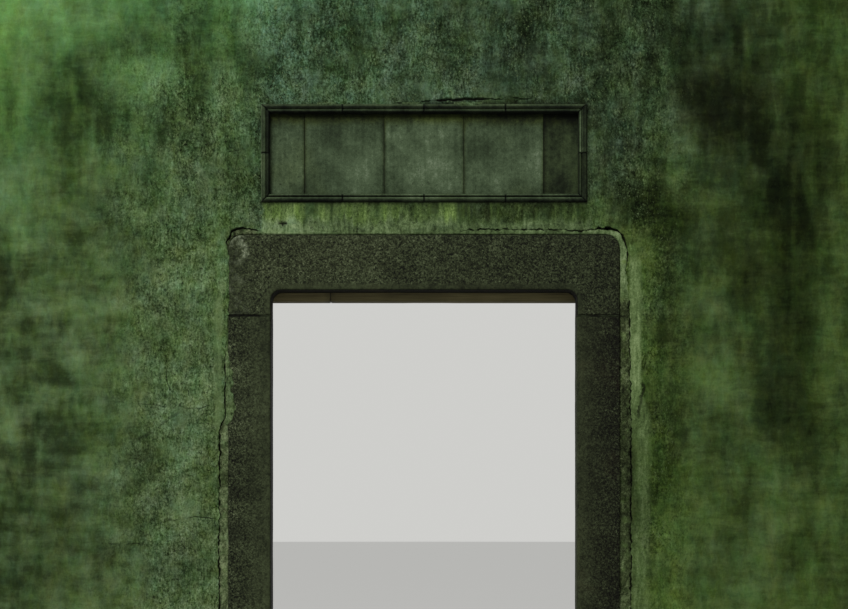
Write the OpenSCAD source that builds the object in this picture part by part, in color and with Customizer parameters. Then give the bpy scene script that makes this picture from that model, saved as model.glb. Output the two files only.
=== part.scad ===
// A stone-framed garden gateway in a plastered brick wall, with a framed tablet over the lintel
// and a tiled coping. Millimetres, X along the wall, the front face towards -Y, the ground at Z = 0.

/* [Wall] */
// Length of the wall over its plastered ends
wall_l = 5000; // [4400:50:7000]
// Thickness of the wall over both plaster coats
wall_t = 420; // [390:10:560]
// Height of the brickwork, from the ground to the corbels
eaves_h = 4250; // [3900:25:5500]
// Thickness of the plaster coat
plaster_t = 20; // [12:1:26]
// Height of the granite base course and of the sill
base_h = 150; // [100:10:300]
// How far the base course stands out from the plaster
base_out = 20; // [5:1:60]

/* [Stone surround] */
// Clear width between the jambs
opening_w = 1530; // [1000:10:1800]
// Height of the lintel's soffit over the ground
soffit_h = 2600; // [2200:10:2750]
// Width of a jamb, seen from the front
jamb_w = 215; // [160:5:300]
// Height of the lintel over its soffit
lintel_h = 280; // [180:5:340]
// How far the lintel's ears hang below its soffit
ear_h = 124; // [90:2:200]
// Depth of the stones, front to back
stone_d = 180; // [160:5:210]
// How far the stones stand out from the plaster
stone_out = 8; // [2:1:20]
// Depth of the lip round the opening, in front of the rebate
lip_d = 110; // [70:5:130]
// Width of the rebate behind the lip
rebate_w = 55; // [30:1:75]
// Size of the rounded arris round the opening
arris = 15; // [6:1:24]
// Radius of the opening's upper corners
head_r = 50; // [30:1:80]
// Radius of the lintel's upper corners
shoulder_r = 70; // [20:1:110]
// Thickness of the mortar beds between the stones
bed_t = 8; // [3:1:14]
// How far the beds are raked back from the stone's faces
bed_rake = 4; // [1:1:10]
// Width of the mortar margin beside the stones
margin_w = 50; // [20:1:90]
// Height of the mortar margin over the lintel
margin_h = 25; // [10:1:60]

/* [Door head] */
// Thickness of the head board behind the lip
head_t = 60; // [30:1:68]
// How far the head board hangs below the soffit
head_drop = 42; // [20:1:80]
// Height of the lintel beams over the rear reveal
beam_h = 150; // [100:5:200]
// Number of lintel beams, side by side
beams = 3; // [2:1:4]
// Gap between neighbouring beams
beam_gap = 3; // [1:1:8]

/* [Tablet] */
// Width of a large square brick
square_w = 400; // [300:5:460]
// Height of the squares
square_h = 409; // [300:1:480]
// Number of large squares
squares = 3; // [2:1:3]
// Width of the narrow panel at each end
narrow_w = 175; // [90:5:220]
// Thickness of the squares
square_t = 24; // [15:1:30]
// Open joint between the squares
square_gap = 2; // [1:1:5]
// Height of the tablet's frame over the lintel
tablet_rise = 161; // [80:1:300]
// How far the frame stands out from the plaster
tablet_out = 12; // [2:1:30]
// How far the squares lie behind the frame's crest
square_set = 38; // [28:1:50]
// Radius of the frame's outer reed
reed_r = 11; // [8:0.5:14]
// Radius of the frame's inner bead
bead_r = 8.5; // [5:0.5:11]
// Quirk between the reed and the bead
quirk = 2; // [1:0.5:4]
// How far the bead's crest lies behind the reed's
bead_set = 3; // [1:0.5:6]
// Bricks along the frame's long sides
long_bricks = 4; // [3:1:5]
// Joint between the frame's bricks
brick_gap = 3; // [1:0.5:5]

/* [Coping] */
// Height of each corbel course
corbel_h = 50; // [35:1:80]
// How far each corbel course steps out
corbel_out = 40; // [25:1:60]
// Slope of the tiles in degrees
slope = 28; // [22:1:34]
// Thickness of the tile bed at the eaves
bed_lip = 18; // [12:1:40]
// Rough spacing of the tile rows
tile_gauge = 205; // [190:1:240]
// Gap between neighbouring pan rows
pan_gap = 22; // [12:1:34]
// Depth of a pan tile's curve
pan_sag = 34; // [26:1:44]
// Width of a cover tile
cover_w = 136; // [120:1:150]
// Rise of a cover tile's curve
cover_sag = 46; // [40:1:60]
// Thickness of the tiles
tile_t = 12; // [8:1:15]
// How deep the pan tiles lie in the bed
pan_sink = 8; // [4:1:11]
// How far the tiles reach past the bed at the eaves
eave_over = 62; // [50:1:90]
// Depth of a drip tile's tongue below its pan
drip_h = 58; // [50:1:75]
// Clearance where curved tiles lie on each other
seat_gap = 0.2; // [0.1:0.1:0.5]

/* [Ridge] */
// Width of the ridge's foot
ridge_w = 180; // [140:5:240]
// Thickness of the flat ridge course
course_t = 30; // [20:1:50]
// How far the flat course reaches past the foot
course_out = 12; // [4:1:30]
// Length of an upright ridge tile, across the wall
ridge_tile_w = 150; // [110:5:180]
// Height of the upright ridge tiles
ridge_tile_h = 118; // [80:2:180]
// Length of each end block
end_l = 150; // [100:5:240]
// How far the end blocks stand over the ridge tiles
end_rise = 6; // [1:1:40]
// Thickness of the slab on each end block
slab_t = 24; // [14:1:40]
// How far that slab reaches past its block
slab_out = 14; // [4:1:30]

/* [Hidden] */
$fn = 64;

granite = "#5b6152";
mortar = "#7f8c74";
plaster = "#6f7d62";
brick = "#6a6d68";
square_brick = "#737a6c";
timber = "#5c4a36";
tile = "#4b4e4f";

// Overlap of a cutting shape past the face that it cuts
cut = 5;
// How far the arris's arc passes the faces, so that it meets them at an angle
roll = 0.4;

// Wall
front = -wall_t / 2;
core_t = wall_t - 2 * plaster_t;
core_l = wall_l - 2 * plaster_t;
core_front = -core_t / 2;
core_back = core_t / 2;

// Stone surround
half_w = opening_w / 2;
frame_half = half_w + jamb_w;
reveal_half = half_w + rebate_w;
stone_front = front - stone_out;
stone_back = stone_front + stone_d;
lip_back = stone_front + lip_d;
ear_z = soffit_h - ear_h;
lintel_top = soffit_h + lintel_h;
rear_soffit = soffit_h + rebate_w;
beam_top = rear_soffit + beam_h;

// Tablet
moulding_w = 2 * reed_r + quirk + 2 * bead_r;
field_w = squares * square_w + 2 * narrow_w;
tablet_half = field_w / 2 + moulding_w;
tablet_low = lintel_top + tablet_rise;
tablet_high = tablet_low + square_h + 2 * moulding_w;
crest = front - tablet_out;
square_front = crest + square_set;
square_back = square_front + square_t;

// Coping
corbel_top = eaves_h + 2 * corbel_h;
eave_y = wall_t / 2 + 2 * corbel_out;
eave_z = corbel_top + bed_lip;
bed_run = eave_y - ridge_w / 2;
bed_top = eave_z + bed_run * tan(slope);
slope_l = bed_run / cos(slope);
rows = round((wall_l - cover_w) / tile_gauge);
row_pitch = (wall_l - cover_w) / rows;
pan_w = row_pitch - pan_gap;
pan_r = (pan_w * pan_w / 4 + pan_sag * pan_sag) / (2 * pan_sag);
pan_c = pan_r - pan_sink;
cover_r = (cover_w * cover_w / 4 + cover_sag * cover_sag) / (2 * cover_sag);
// Height of a pan's upper face at x from the middle of its row
function pan_top(x) = pan_c - sqrt(pow(pan_r - tile_t, 2) - x * x);
pan_edge = pan_top(pan_w / 2);
// A cover rests with its inner corners in the channels, or with its crown on the pans' edges
foot_x = sqrt(pow(cover_r - tile_t, 2) - pow(cover_r - cover_sag, 2));
foot_in_pan = pan_top(row_pitch / 2 - foot_x);
foot_on_edge = pan_edge - cover_sag + cover_r - sqrt(pow(cover_r - tile_t, 2) - pow(pan_gap / 2, 2));
cover_foot = max(foot_in_pan, foot_on_edge) + seat_gap;
cover_top = cover_foot + cover_sag;

// Ridge
flare = (cover_top + seat_gap) * sin(slope);
foot_h = (cover_top + seat_gap) * cos(slope);
course_z = bed_top + foot_h;
ridge_z = course_z + course_t;

// A box from its low corner to its high corner
module block(low, high) {
    translate(low)
        cube(high - low);
}

// An outline drawn in X and Z, carried from y0 to y1
module through(y0, y1) {
    translate([0, y1, 0])
        rotate([90, 0, 0])
            linear_extrude(y1 - y0)
                children();
}

// An outline carried along X from -half to half, its X going up and its Y going into the wall
module along(half) {
    translate([half, 0, 0])
        rotate([0, -90, 0])
            linear_extrude(2 * half)
                children();
}

module other_side() {
    mirror([1, 0, 0])
        children();
}

// A rectangle on the middle line, with its upper corners rounded
module arched(half, low, high, r) {
    translate([-half, low])
        square([2 * half, high - r - low]);
    translate([r - half, high - r])
        square([2 * (half - r), r]);
    for (side = [-1, 1])
        translate([side * (half - r), high - r])
            intersection() {
                circle(r);
                translate([side > 0 ? 0 : -r, 0])
                    square(r);
            }
}

// What the arris takes off, measured from the corner into the two faces
module arris_cut() {
    difference() {
        translate([-cut, -cut])
            square(arris + cut);
        translate([arris, arris])
            circle(arris + roll);
    }
}

// The arris up the side of the opening at +X
module side_arris(low, high) {
    translate([half_w, stone_front, low])
        linear_extrude(high - low)
            arris_cut();
}

// The arris round the opening's upper corner at +X
module corner_arris() {
    translate([half_w - head_r, stone_front, soffit_h - head_r])
        rotate([-90, 0, 0])
            rotate([0, 0, -90])
                rotate_extrude(angle = 90)
                    translate([head_r, 0])
                        arris_cut();
}

module sill_stone() {
    color(granite)
        block([-frame_half, front - base_out, 0], [frame_half, -front, base_h]);
}

module base_side() {
    color(granite)
        block([frame_half, front - base_out, 0], [wall_l / 2, base_out - front, base_h]);
}

module jamb() {
    color(granite)
        difference() {
            block([half_w, stone_front, base_h + bed_t], [frame_half, stone_back, ear_z - bed_t]);
            block([half_w - cut, lip_back, base_h], [reveal_half, stone_back + cut, ear_z]);
            side_arris(base_h, ear_z);
        }
}

module lintel_stone() {
    color(granite)
        difference() {
            through(stone_front, stone_back)
                arched(frame_half, ear_z, lintel_top, shoulder_r);
            through(stone_front - cut, lip_back + cut)
                arched(half_w, ear_z - cut, soffit_h, head_r);
            block([-reveal_half, lip_back, ear_z - cut], [reveal_half, stone_back + cut, rear_soffit]);
            translate([0, stone_front, soffit_h])
                along(half_w - head_r)
                    arris_cut();
            for (side = [0, 1])
                mirror([side, 0, 0]) {
                    side_arris(ear_z - cut, soffit_h - head_r);
                    corner_arris();
                }
        }
}

// The mortar beds under the jambs and under the lintel's ears
module bed_joints() {
    rake = arris + bed_rake;
    color(mortar)
        for (side = [0, 1], z = [base_h, ear_z - bed_t])
            mirror([side, 0, 0])
                difference() {
                    block([half_w + rake, stone_front + bed_rake, z],
                        [frame_half, stone_back, z + bed_t]);
                    block([half_w, lip_back, z - cut],
                        [reveal_half + bed_rake, stone_back + cut, z + bed_t + cut]);
                }
}

module mortar_margin() {
    color(mortar)
        through(front, core_front)
            difference() {
                arched(frame_half + margin_w, base_h, lintel_top + margin_h, shoulder_r + margin_h);
                arched(frame_half, base_h - cut, lintel_top, shoulder_r);
            }
}

module head_board() {
    color(timber)
        block([-reveal_half, lip_back, soffit_h - head_drop], [reveal_half, lip_back + head_t, rear_soffit]);
}

// One of the beams over the rear reveal, counted from the stones
module lintel_beam(i) {
    pitch = (core_back - stone_back) / beams;
    y = stone_back + (i - 1) * pitch;
    color(timber)
        block([-frame_half, y, rear_soffit], [frame_half, y + pitch - beam_gap, beam_top]);
}

// The pier beside the gateway, with the backing of its jamb
module wall_side() {
    color(brick) {
        block([frame_half, core_front, base_h], [core_l / 2, core_back, eaves_h]);
        block([reveal_half + plaster_t, stone_back, base_h], [frame_half, core_back, rear_soffit]);
    }
}

module wall_over() {
    color(brick)
        difference() {
            block([-frame_half, core_front, rear_soffit], [frame_half, core_back, eaves_h]);
            block([-frame_half - cut, core_front - cut, rear_soffit - cut],
                [frame_half + cut, stone_back, lintel_top]);
            block([-frame_half - cut, stone_back, rear_soffit - cut],
                [frame_half + cut, core_back + cut, beam_top]);
            block([-tablet_half, core_front - cut, tablet_low], [tablet_half, square_back, tablet_high]);
        }
}

module plaster_front() {
    color(plaster)
        through(front, core_front)
            difference() {
                translate([-wall_l / 2, base_h])
                    square([wall_l, eaves_h - base_h]);
                arched(frame_half + margin_w, base_h - cut, lintel_top + margin_h, shoulder_r + margin_h);
                translate([-tablet_half, tablet_low])
                    square([2 * tablet_half, tablet_high - tablet_low]);
            }
}

module plaster_back() {
    color(plaster)
        difference() {
            block([-wall_l / 2, core_back, base_h], [wall_l / 2, -front, eaves_h]);
            block([-reveal_half - plaster_t, core_back - cut, base_h - cut],
                [reveal_half + plaster_t, cut - front, rear_soffit]);
        }
}

module plaster_end() {
    color(plaster)
        block([core_l / 2, core_front, base_h], [wall_l / 2, core_back, eaves_h]);
}

module plaster_reveal() {
    color(plaster)
        block([reveal_half, stone_back, base_h], [reveal_half + plaster_t, -front, rear_soffit]);
}

// A panel of the tablet, counted from -X, with half an open joint at each seam
module tablet_panel(i) {
    first = -field_w / 2;
    low = i == 1 ? first : first + narrow_w + (i - 2) * square_w + square_gap / 2;
    high = i == squares + 2 ? -first : first + narrow_w + (i - 1) * square_w - square_gap / 2;
    color(square_brick)
        block([low, square_front, tablet_low + moulding_w], [high, square_back, tablet_high - moulding_w]);
}

// Section of the frame, its X from the outer edge inwards and its Y from the crest into the wall
module moulding() {
    bead_y = bead_set + bead_r;
    bead_x = 2 * reed_r + quirk + bead_r;
    depth = square_back - crest;
    translate([0, reed_r])
        square([2 * reed_r, depth - reed_r]);
    translate([2 * reed_r, max(reed_r, bead_y) + quirk])
        square([quirk, depth - max(reed_r, bead_y) - quirk]);
    translate([2 * reed_r + quirk, bead_y])
        square([2 * bead_r, depth - bead_y]);
    translate([reed_r, reed_r])
        half_disc(reed_r);
    translate([bead_x, bead_y])
        half_disc(bead_r);
}

// Half a disc, on the side of -Y
module half_disc(r) {
    intersection() {
        circle(r);
        translate([-r - cut, -r - cut])
            square([2 * (r + cut), r + cut]);
    }
}

// One long side of the frame, mitred, in bricks with open joints
module frame_long() {
    pitch = 2 * tablet_half / long_bricks;
    difference() {
        intersection() {
            translate([0, crest, tablet_low])
                along(tablet_half)
                    moulding();
            through(crest - cut, square_back + cut)
                polygon([
                    [brick_gap - tablet_half, tablet_low], [tablet_half - brick_gap, tablet_low],
                    [tablet_half - moulding_w - brick_gap, tablet_low + moulding_w],
                    [brick_gap - tablet_half + moulding_w, tablet_low + moulding_w]
                ]);
        }
        for (i = [1:long_bricks - 1])
            translate([i * pitch - tablet_half - brick_gap / 2, crest - cut, tablet_low - cut])
                cube([brick_gap, square_back - crest + 2 * cut, moulding_w + 2 * cut]);
    }
}

// One short side of the frame at -X, mitred, in two bricks
module frame_short() {
    middle = (tablet_low + tablet_high) / 2;
    difference() {
        intersection() {
            translate([-tablet_half, crest, tablet_low])
                linear_extrude(tablet_high - tablet_low)
                    moulding();
            through(crest - cut, square_back + cut)
                polygon([
                    [-tablet_half, tablet_low], [moulding_w - tablet_half, tablet_low + moulding_w],
                    [moulding_w - tablet_half, tablet_high - moulding_w], [-tablet_half, tablet_high]
                ]);
        }
        translate([-tablet_half - cut, crest - cut, middle - brick_gap / 2])
            cube([moulding_w + 2 * cut, square_back - crest + 2 * cut, brick_gap]);
    }
}

module frame_bottom() {
    color(square_brick)
        frame_long();
}

module frame_top() {
    color(square_brick)
        translate([0, 0, tablet_low + tablet_high])
            mirror([0, 0, 1])
                frame_long();
}

module frame_left() {
    color(square_brick)
        frame_short();
}

module frame_right() {
    color(square_brick)
        other_side()
            frame_short();
}

// A corbel course on the front, 1 the lower and 2 the upper
module corbel(step) {
    z = eaves_h + (step - 1) * corbel_h;
    color(brick)
        block([-wall_l / 2, front - step * corbel_out, z], [wall_l / 2, 0, z + corbel_h]);
}

module at_back() {
    rotate([0, 0, 180])
        children();
}

// The front slope: X along the wall, Y square to the slope, Z down the slope, zero at the bed's edge
module on_slope() {
    translate([0, -eave_y, eave_z])
        rotate([90 + slope, 0, 0])
            children();
}

// A row's outline carried from the ridge foot to a place past the bed's edge
module tile_row(x, end) {
    on_slope()
        translate([x, 0, seat_gap - slope_l])
            linear_extrude(slope_l + end - seat_gap)
                children();
}

// The last tile_t of a row that ends there
module row_end(x, end) {
    on_slope()
        translate([x, 0, end - tile_t])
            linear_extrude(tile_t)
                children();
}

module pan_section() {
    intersection() {
        translate([0, pan_c])
            difference() {
                circle(pan_r);
                circle(pan_r - tile_t);
            }
        translate([-pan_w / 2, -pan_sink - cut])
            square([pan_w, pan_c]);
    }
}

// The tongue under a pan's eave end, a pointed lobe between two arcs
module drip_section() {
    w = pan_w / 2;
    tall = pan_edge + pan_sink + drip_h;
    r = (w + tall * tall / w) / 2;
    difference() {
        intersection() {
            translate([r - w, pan_edge])
                circle(r);
            translate([w - r, pan_edge])
                circle(r);
            translate([-w - cut, -tall - cut])
                square([2 * (w + cut), pan_edge + tall + cut]);
        }
        translate([0, pan_c])
            circle(pan_r - tile_t);
    }
}

module cover_disc(r) {
    intersection() {
        translate([0, cover_top - cover_r])
            circle(r);
        translate([-cover_r - cut, cover_foot])
            square(2 * (cover_r + cut));
    }
}

module cover_section() {
    difference() {
        cover_disc(cover_r);
        translate([0, cover_top - cover_r])
            circle(cover_r - tile_t);
    }
}

function pan_x(i) = (i - (rows - 1) / 2) * row_pitch;
function cover_x(i) = (i - rows / 2) * row_pitch;

module pan_tiles() {
    color(tile)
        for (i = [0:rows - 1]) {
            tile_row(pan_x(i), eave_over)
                pan_section();
            row_end(pan_x(i), eave_over)
                drip_section();
        }
}

// The covers' closed ends lie in front of the pans' ends
module cover_tiles() {
    end = eave_over + seat_gap + tile_t;
    color(tile)
        for (i = [0:rows]) {
            tile_row(cover_x(i), end)
                cover_section();
            row_end(cover_x(i), end)
                cover_disc(cover_r);
        }
}

// The mortar under the outer foot of the last covers, in whole millimetres
module verge() {
    foot_w = ceil(cover_w / 2 - foot_x);
    for (side = [0, 1])
        mirror([side, 0, 0])
            on_slope()
                translate([wall_l / 2 - foot_w, -pan_sink, seat_gap - slope_l])
                    cube([foot_w, pan_sink + cover_foot, slope_l]);
}

// The troughs that the pans of one slope lie in
module troughs() {
    for (i = [0:rows - 1])
        on_slope()
            translate([pan_x(i), pan_c, -slope_l - cut])
                cylinder(h = slope_l + eave_over, r = pan_r + seat_gap);
}

// An outline drawn in Y and Z, carried over the wall's length
module on_side() {
    translate([-wall_l / 2, 0, 0])
        rotate([90, 0, 90])
            linear_extrude(wall_l)
                children();
}

module tile_bed() {
    color(mortar) {
        difference() {
            on_side()
                polygon([[-eave_y, corbel_top], [eave_y, corbel_top], [eave_y, eave_z],
                    [ridge_w / 2, bed_top], [-ridge_w / 2, bed_top], [-eave_y, eave_z]]);
            troughs();
            at_back()
                troughs();
        }
        verge();
        at_back()
            verge();
    }
}

module ridge_foot() {
    color(mortar)
        on_side()
            polygon([[-ridge_w / 2, bed_top], [ridge_w / 2, bed_top],
                [ridge_w / 2 + flare, course_z], [-ridge_w / 2 - flare, course_z]]);
}

module ridge_course() {
    reach = ridge_w / 2 + flare + course_out;
    color(brick)
        block([-wall_l / 2, -reach, course_z], [wall_l / 2, reach, ridge_z]);
}

module ridge_tiles() {
    color(tile)
        block([end_l - wall_l / 2, -ridge_tile_w / 2, ridge_z],
            [wall_l / 2 - end_l, ridge_tile_w / 2, ridge_z + ridge_tile_h]);
}

// The block that closes the ridge at +X, with its slab
module ridge_end() {
    top = ridge_z + ridge_tile_h + end_rise;
    y = ridge_tile_w / 2;
    color(brick) {
        block([wall_l / 2 - end_l, -y, ridge_z], [wall_l / 2 - slab_out, y, top]);
        block([wall_l / 2 - end_l - slab_out, -y - slab_out, top],
            [wall_l / 2, y + slab_out, top + slab_t]);
    }
}

sill_stone();
other_side() base_side();  // base_left
base_side();  // base_right
other_side() jamb();  // jamb_left
jamb();  // jamb_right
lintel_stone();
bed_joints();
mortar_margin();
head_board();
for (i = [1:beams])
    lintel_beam(i);
other_side() wall_side();  // wall_left
wall_side();  // wall_right
wall_over();
plaster_front();
plaster_back();
other_side() plaster_end();  // plaster_end_left
plaster_end();  // plaster_end_right
other_side() plaster_reveal();  // plaster_reveal_left
plaster_reveal();  // plaster_reveal_right
for (i = [1:squares + 2])
    tablet_panel(i);
frame_top();
frame_bottom();
frame_left();
frame_right();
corbel(1);  // corbel_front_lower
corbel(2);  // corbel_front_upper
at_back() corbel(1);  // corbel_back_lower
at_back() corbel(2);  // corbel_back_upper
tile_bed();
pan_tiles();  // pan_tiles_front
at_back() pan_tiles();  // pan_tiles_back
cover_tiles();  // cover_tiles_front
at_back() cover_tiles();  // cover_tiles_back
ridge_foot();
ridge_course();
ridge_tiles();
other_side() ridge_end();  // ridge_end_left
ridge_end();  // ridge_end_right
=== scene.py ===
"""Looks of a stone-framed garden gateway: plaster, granite, timber, square bricks and a tiled coping.

Metres, X along the wall, the front face towards -Y, the ground at Z = 0.
"""

import math

import bmesh
import bpy
import numpy as np
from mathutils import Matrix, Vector


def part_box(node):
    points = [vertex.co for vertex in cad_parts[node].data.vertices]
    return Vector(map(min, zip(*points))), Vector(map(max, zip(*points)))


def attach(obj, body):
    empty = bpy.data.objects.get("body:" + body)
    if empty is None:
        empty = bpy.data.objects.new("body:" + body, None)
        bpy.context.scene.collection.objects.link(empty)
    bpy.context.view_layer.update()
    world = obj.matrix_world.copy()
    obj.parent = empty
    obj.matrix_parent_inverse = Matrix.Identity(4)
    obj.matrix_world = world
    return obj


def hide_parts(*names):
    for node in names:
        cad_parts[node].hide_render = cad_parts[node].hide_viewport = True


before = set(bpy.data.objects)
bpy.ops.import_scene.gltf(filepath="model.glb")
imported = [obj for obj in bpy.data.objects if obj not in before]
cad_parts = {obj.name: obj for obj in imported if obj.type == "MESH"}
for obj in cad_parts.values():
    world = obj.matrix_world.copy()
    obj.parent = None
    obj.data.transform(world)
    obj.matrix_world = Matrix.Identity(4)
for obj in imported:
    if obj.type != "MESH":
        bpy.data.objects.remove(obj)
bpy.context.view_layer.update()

# Places taken from the frame
WALL_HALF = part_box("plaster_front")[1].x
FOOT_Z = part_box("plaster_front")[0].z
EAVES_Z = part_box("plaster_front")[1].z
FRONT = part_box("plaster_front")[0].y
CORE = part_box("plaster_front")[1].y
STONE_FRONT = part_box("lintel_stone")[0].y
STONE_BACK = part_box("lintel_stone")[1].y
STONE_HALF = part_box("lintel_stone")[1].x
LINTEL_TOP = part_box("lintel_stone")[1].z
EAR_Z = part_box("lintel_stone")[0].z
LIP_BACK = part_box("head_board")[0].y
REAR_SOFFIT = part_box("head_board")[1].z
REVEAL_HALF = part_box("plaster_reveal_right")[0].x
TABLET_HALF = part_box("frame_right")[1].x
TABLET_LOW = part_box("frame_bottom")[0].z
TABLET_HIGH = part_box("frame_top")[1].z
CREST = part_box("frame_top")[0].y
FIELD_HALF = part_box("tablet_panel_5")[1].x
CORBEL_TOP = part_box("corbel_front_upper")[1].z

# Sizes of the gateway that its surfaces are worked out from
PLASTER_T = 0.020
SHOULDER_R = 0.070
OPENING_HALF = 0.765
SOFFIT_Z = 2.600
HEAD_R = 0.050
ARRIS = 0.015
BOARD_SEAM = -0.475

# Beds between the stones: how thick they show and how far they reach into the stones over and under them.
# The last is the width of the joint between the blocks of the base course
BED_T = 0.008
BED_REACH = 0.003
BASE_JOINT = 0.006

# How far the finely modelled plaster reaches from the stones
RING_W = TABLET_LOW - LINTEL_TOP

# How far the ends of a coat are worn round, how deep, and how far a lap's edge dips under what it lies on
RIM_W = 0.012
RIM_DEPTH = 0.006
LAP_EDGE = 0.0015

# Sizes of the faces of the plaster ring, the jambs and the lintel, and the ring's steps round a shoulder
RING_SIDE_CELL = 0.0085
RING_TOP_CELL = 0.0065
RING_CORNER_STEP = 1 / 26
JAMB_CELL = 0.0058
LINTEL_CELL = 0.0069


def linear(level):
    """The light of an sRGB level from 0 to 1."""
    return level / 12.92 if level <= 0.04045 else ((level + 0.055) / 1.055) ** 2.4


def srgb(r, g, b):
    """A colour given in 0 to 255, as the linear values that a shader takes."""
    return linear(r / 255), linear(g / 255), linear(b / 255), 1.0


def as_light(ratio, level=0.30):
    """A ratio of two sRGB levels, the larger one about level, as a ratio of light."""
    return ((ratio * level + 0.055) / 1.055) ** 2.4 / linear(level)


def step(low, high, v):
    """0 below low, 1 above high and a smooth rise between them."""
    t = np.clip((v - low) / (high - low), 0, 1)
    return t * t * (3 - 2 * t)


def hump(v, start, full, fade, end):
    """0 up to start, 1 from full to fade, 0 again from end on, and smooth slopes between them."""
    return step(start, full, v) * step(end, fade, v)


def reach(x, z, middle_x, middle_z, half_w, half_h):
    """How far points lie from a middle, for a half width and half height that count as 1."""
    return np.hypot((x - middle_x) / half_w, (z - middle_z) / half_h)


def lattice(cell, seed):
    """A repeatable number from -1 to 1 for each whole-numbered point."""
    c = cell.astype(np.uint64)
    h = c[:, 0] * np.uint64(73856093) ^ c[:, 1] * np.uint64(19349663) ^ c[:, 2] * np.uint64(83492791)
    h ^= np.uint64(seed * 2654435761 + 97)
    h = (h ^ h >> np.uint64(15)) * np.uint64(2246822519) & np.uint64(0xFFFFFFFF)
    h = (h ^ h >> np.uint64(13)) * np.uint64(3266489917) & np.uint64(0xFFFFFFFF)
    return ((h ^ h >> np.uint64(16)) % np.uint64(65536)).astype(float) / 32767.5 - 1


def noise(p, cell, seed=0):
    """Smooth noise from -1 to 1 at points p. Its cells have one size, or one for each axis."""
    q = p / np.asarray(cell, float)
    low = np.floor(q)
    f = q - low
    f = f * f * (3 - 2 * f)
    low = low.astype(np.int64)
    out = np.zeros(len(p))
    for corner in range(8):
        offset = np.array([corner & 1, corner >> 1 & 1, corner >> 2])
        out += np.prod(np.where(offset, f, 1 - f), axis=1) * lattice(low + offset, seed)
    return out


def noises(p, *layers):
    """The sum of layers of noise, each given as its strength, the size of its cells and its seed."""
    return sum(strength * noise(p, cell, seed) for strength, cell, seed in layers)


def fractal(p, cell, octaves, seed=0):
    """Noise of several octaves, each with half the size and half the strength of the one before."""
    total = sum(noise(p, np.asarray(cell, float) / 2 ** k, seed + k) / 2 ** k for k in range(octaves))
    return total / (2 - 2 ** (1 - octaves))


def graph(v, places):
    """The value at v of a line through places, each given as a place and its value."""
    return np.interp(v, *zip(*places))


def at(x, z, y=0.0):
    """Points from arrays of X and Z."""
    return np.stack([x, np.full_like(x, y), z], 1)


# Middle of the rounded shoulder at +X
SHOULDER_X = STONE_HALF - SHOULDER_R
SHOULDER_Z = LINTEL_TOP - SHOULDER_R

# The outline of the stones, walked from the foot at -X over the top to the foot at +X
SIDE_LEN = SHOULDER_Z - FOOT_Z
CORNER_LEN = SHOULDER_R * math.pi / 2
TOP_LEN = 2 * SHOULDER_X
OUTLINE_LEN = 2 * SIDE_LEN + 2 * CORNER_LEN + TOP_LEN


def left_side(z):
    """The place along the outline at a height on the left side."""
    return z - FOOT_Z


def right_side(z):
    """The place along the outline at a height on the right side."""
    return OUTLINE_LEN - left_side(z)


def over(x):
    """The place along the outline at an X on the top."""
    return SIDE_LEN + CORNER_LEN + x + TOP_LEN / 2


def outline_distance(x, z, half, top, r):
    """Distance of points from an outline of that half width, with a flat top and corners of radius r."""
    ax = np.abs(x)
    beside = z < top - r
    above = (ax < half - r) & ~beside
    corner = np.hypot(ax - half + r, z - top + r) - r
    return np.where(beside, ax - half, np.where(above, z - top, corner))


def around(x, z):
    """Where points of the front lie along the stones' outline, and how far they are from it."""
    ax = np.abs(x)
    turn = np.arctan2(z - SHOULDER_Z, ax - SHOULDER_X)
    s = np.where(z < SHOULDER_Z, z - FOOT_Z, SIDE_LEN + SHOULDER_R * turn)
    s = np.where((ax < SHOULDER_X) & (z >= SHOULDER_Z), SIDE_LEN + CORNER_LEN + SHOULDER_X - ax, s)
    s = np.where(x > 0, OUTLINE_LEN - s, s)
    return s, outline_distance(x, z, STONE_HALF, LINTEL_TOP, SHOULDER_R)


# The crack round the stones: place along their outline, distance from them and width, in millimetres
CRACK = [
    (left_side(0.15), 44, 4.5), (left_side(0.90), 48, 4), (left_side(1.90), 42, 4.5),
    (left_side(1.96), 16, 4), (left_side(2.24), 14, 3.5), (left_side(2.30), 9, 0), (left_side(2.76), 5, 0),
    (left_side(2.83), 9, 4), (left_side(2.849), 16, 6), (left_side(2.871), 20, 5), (left_side(2.88), 29, 6),
    (left_side(2.90), 30, 6), (over(-0.90), 34, 5), (over(-0.86), 26, 4), (over(-0.826), 17, 3),
    (over(-0.80), 4, 2), (over(-0.77), 4, 0), (over(0.17), 12, 0), (over(0.21), 24, 4), (over(0.62), 24, 4),
    (over(0.68), 29, 4), (over(0.75), 18, 4), (over(0.815), 21, 4), (over(0.873), 34, 8),
    (over(0.895), 27, 9), (right_side(2.882), 37, 10), (right_side(2.869), 39, 10),
    (right_side(2.852), 32, 7), (right_side(2.825), 31, 6), (right_side(2.79), 38, 6),
    (right_side(2.73), 33, 3), (right_side(2.65), 36, 0), (right_side(2.58), 43, 0),
    (right_side(2.55), 46, 3), (right_side(2.47), 50, 4), (right_side(2.12), 51, 4),
    (right_side(1.90), 56, 5), (right_side(1.60), 56, 5), (right_side(0.15), 56, 5),
]


def crack_line(s):
    """Distance of the crack from the stones and its width, in metres."""
    p = at(s, s)
    places, aways, widths = zip(*CRACK)
    away = np.interp(s, places, aways) + noises(p, (3.0, 0.055, 11), (3.6, 0.021, 12), (3.2, 0.011, 13))
    wide = np.interp(s, places, widths) * (1 + 0.9 * noise(p, 0.022, 14))
    return np.maximum(away, 1.5) / 1000, np.maximum(wide, 0) / 1000


def span(low, high, cell):
    """Evenly spaced values from low to high, about cell apart."""
    return np.linspace(low, high, max(2, int(round((high - low) / cell)) + 1))


def joined(*parts):
    """Spans that follow each other, as one list of values."""
    return np.concatenate([parts[0]] + [p[1:] for p in parts[1:]])


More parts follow.
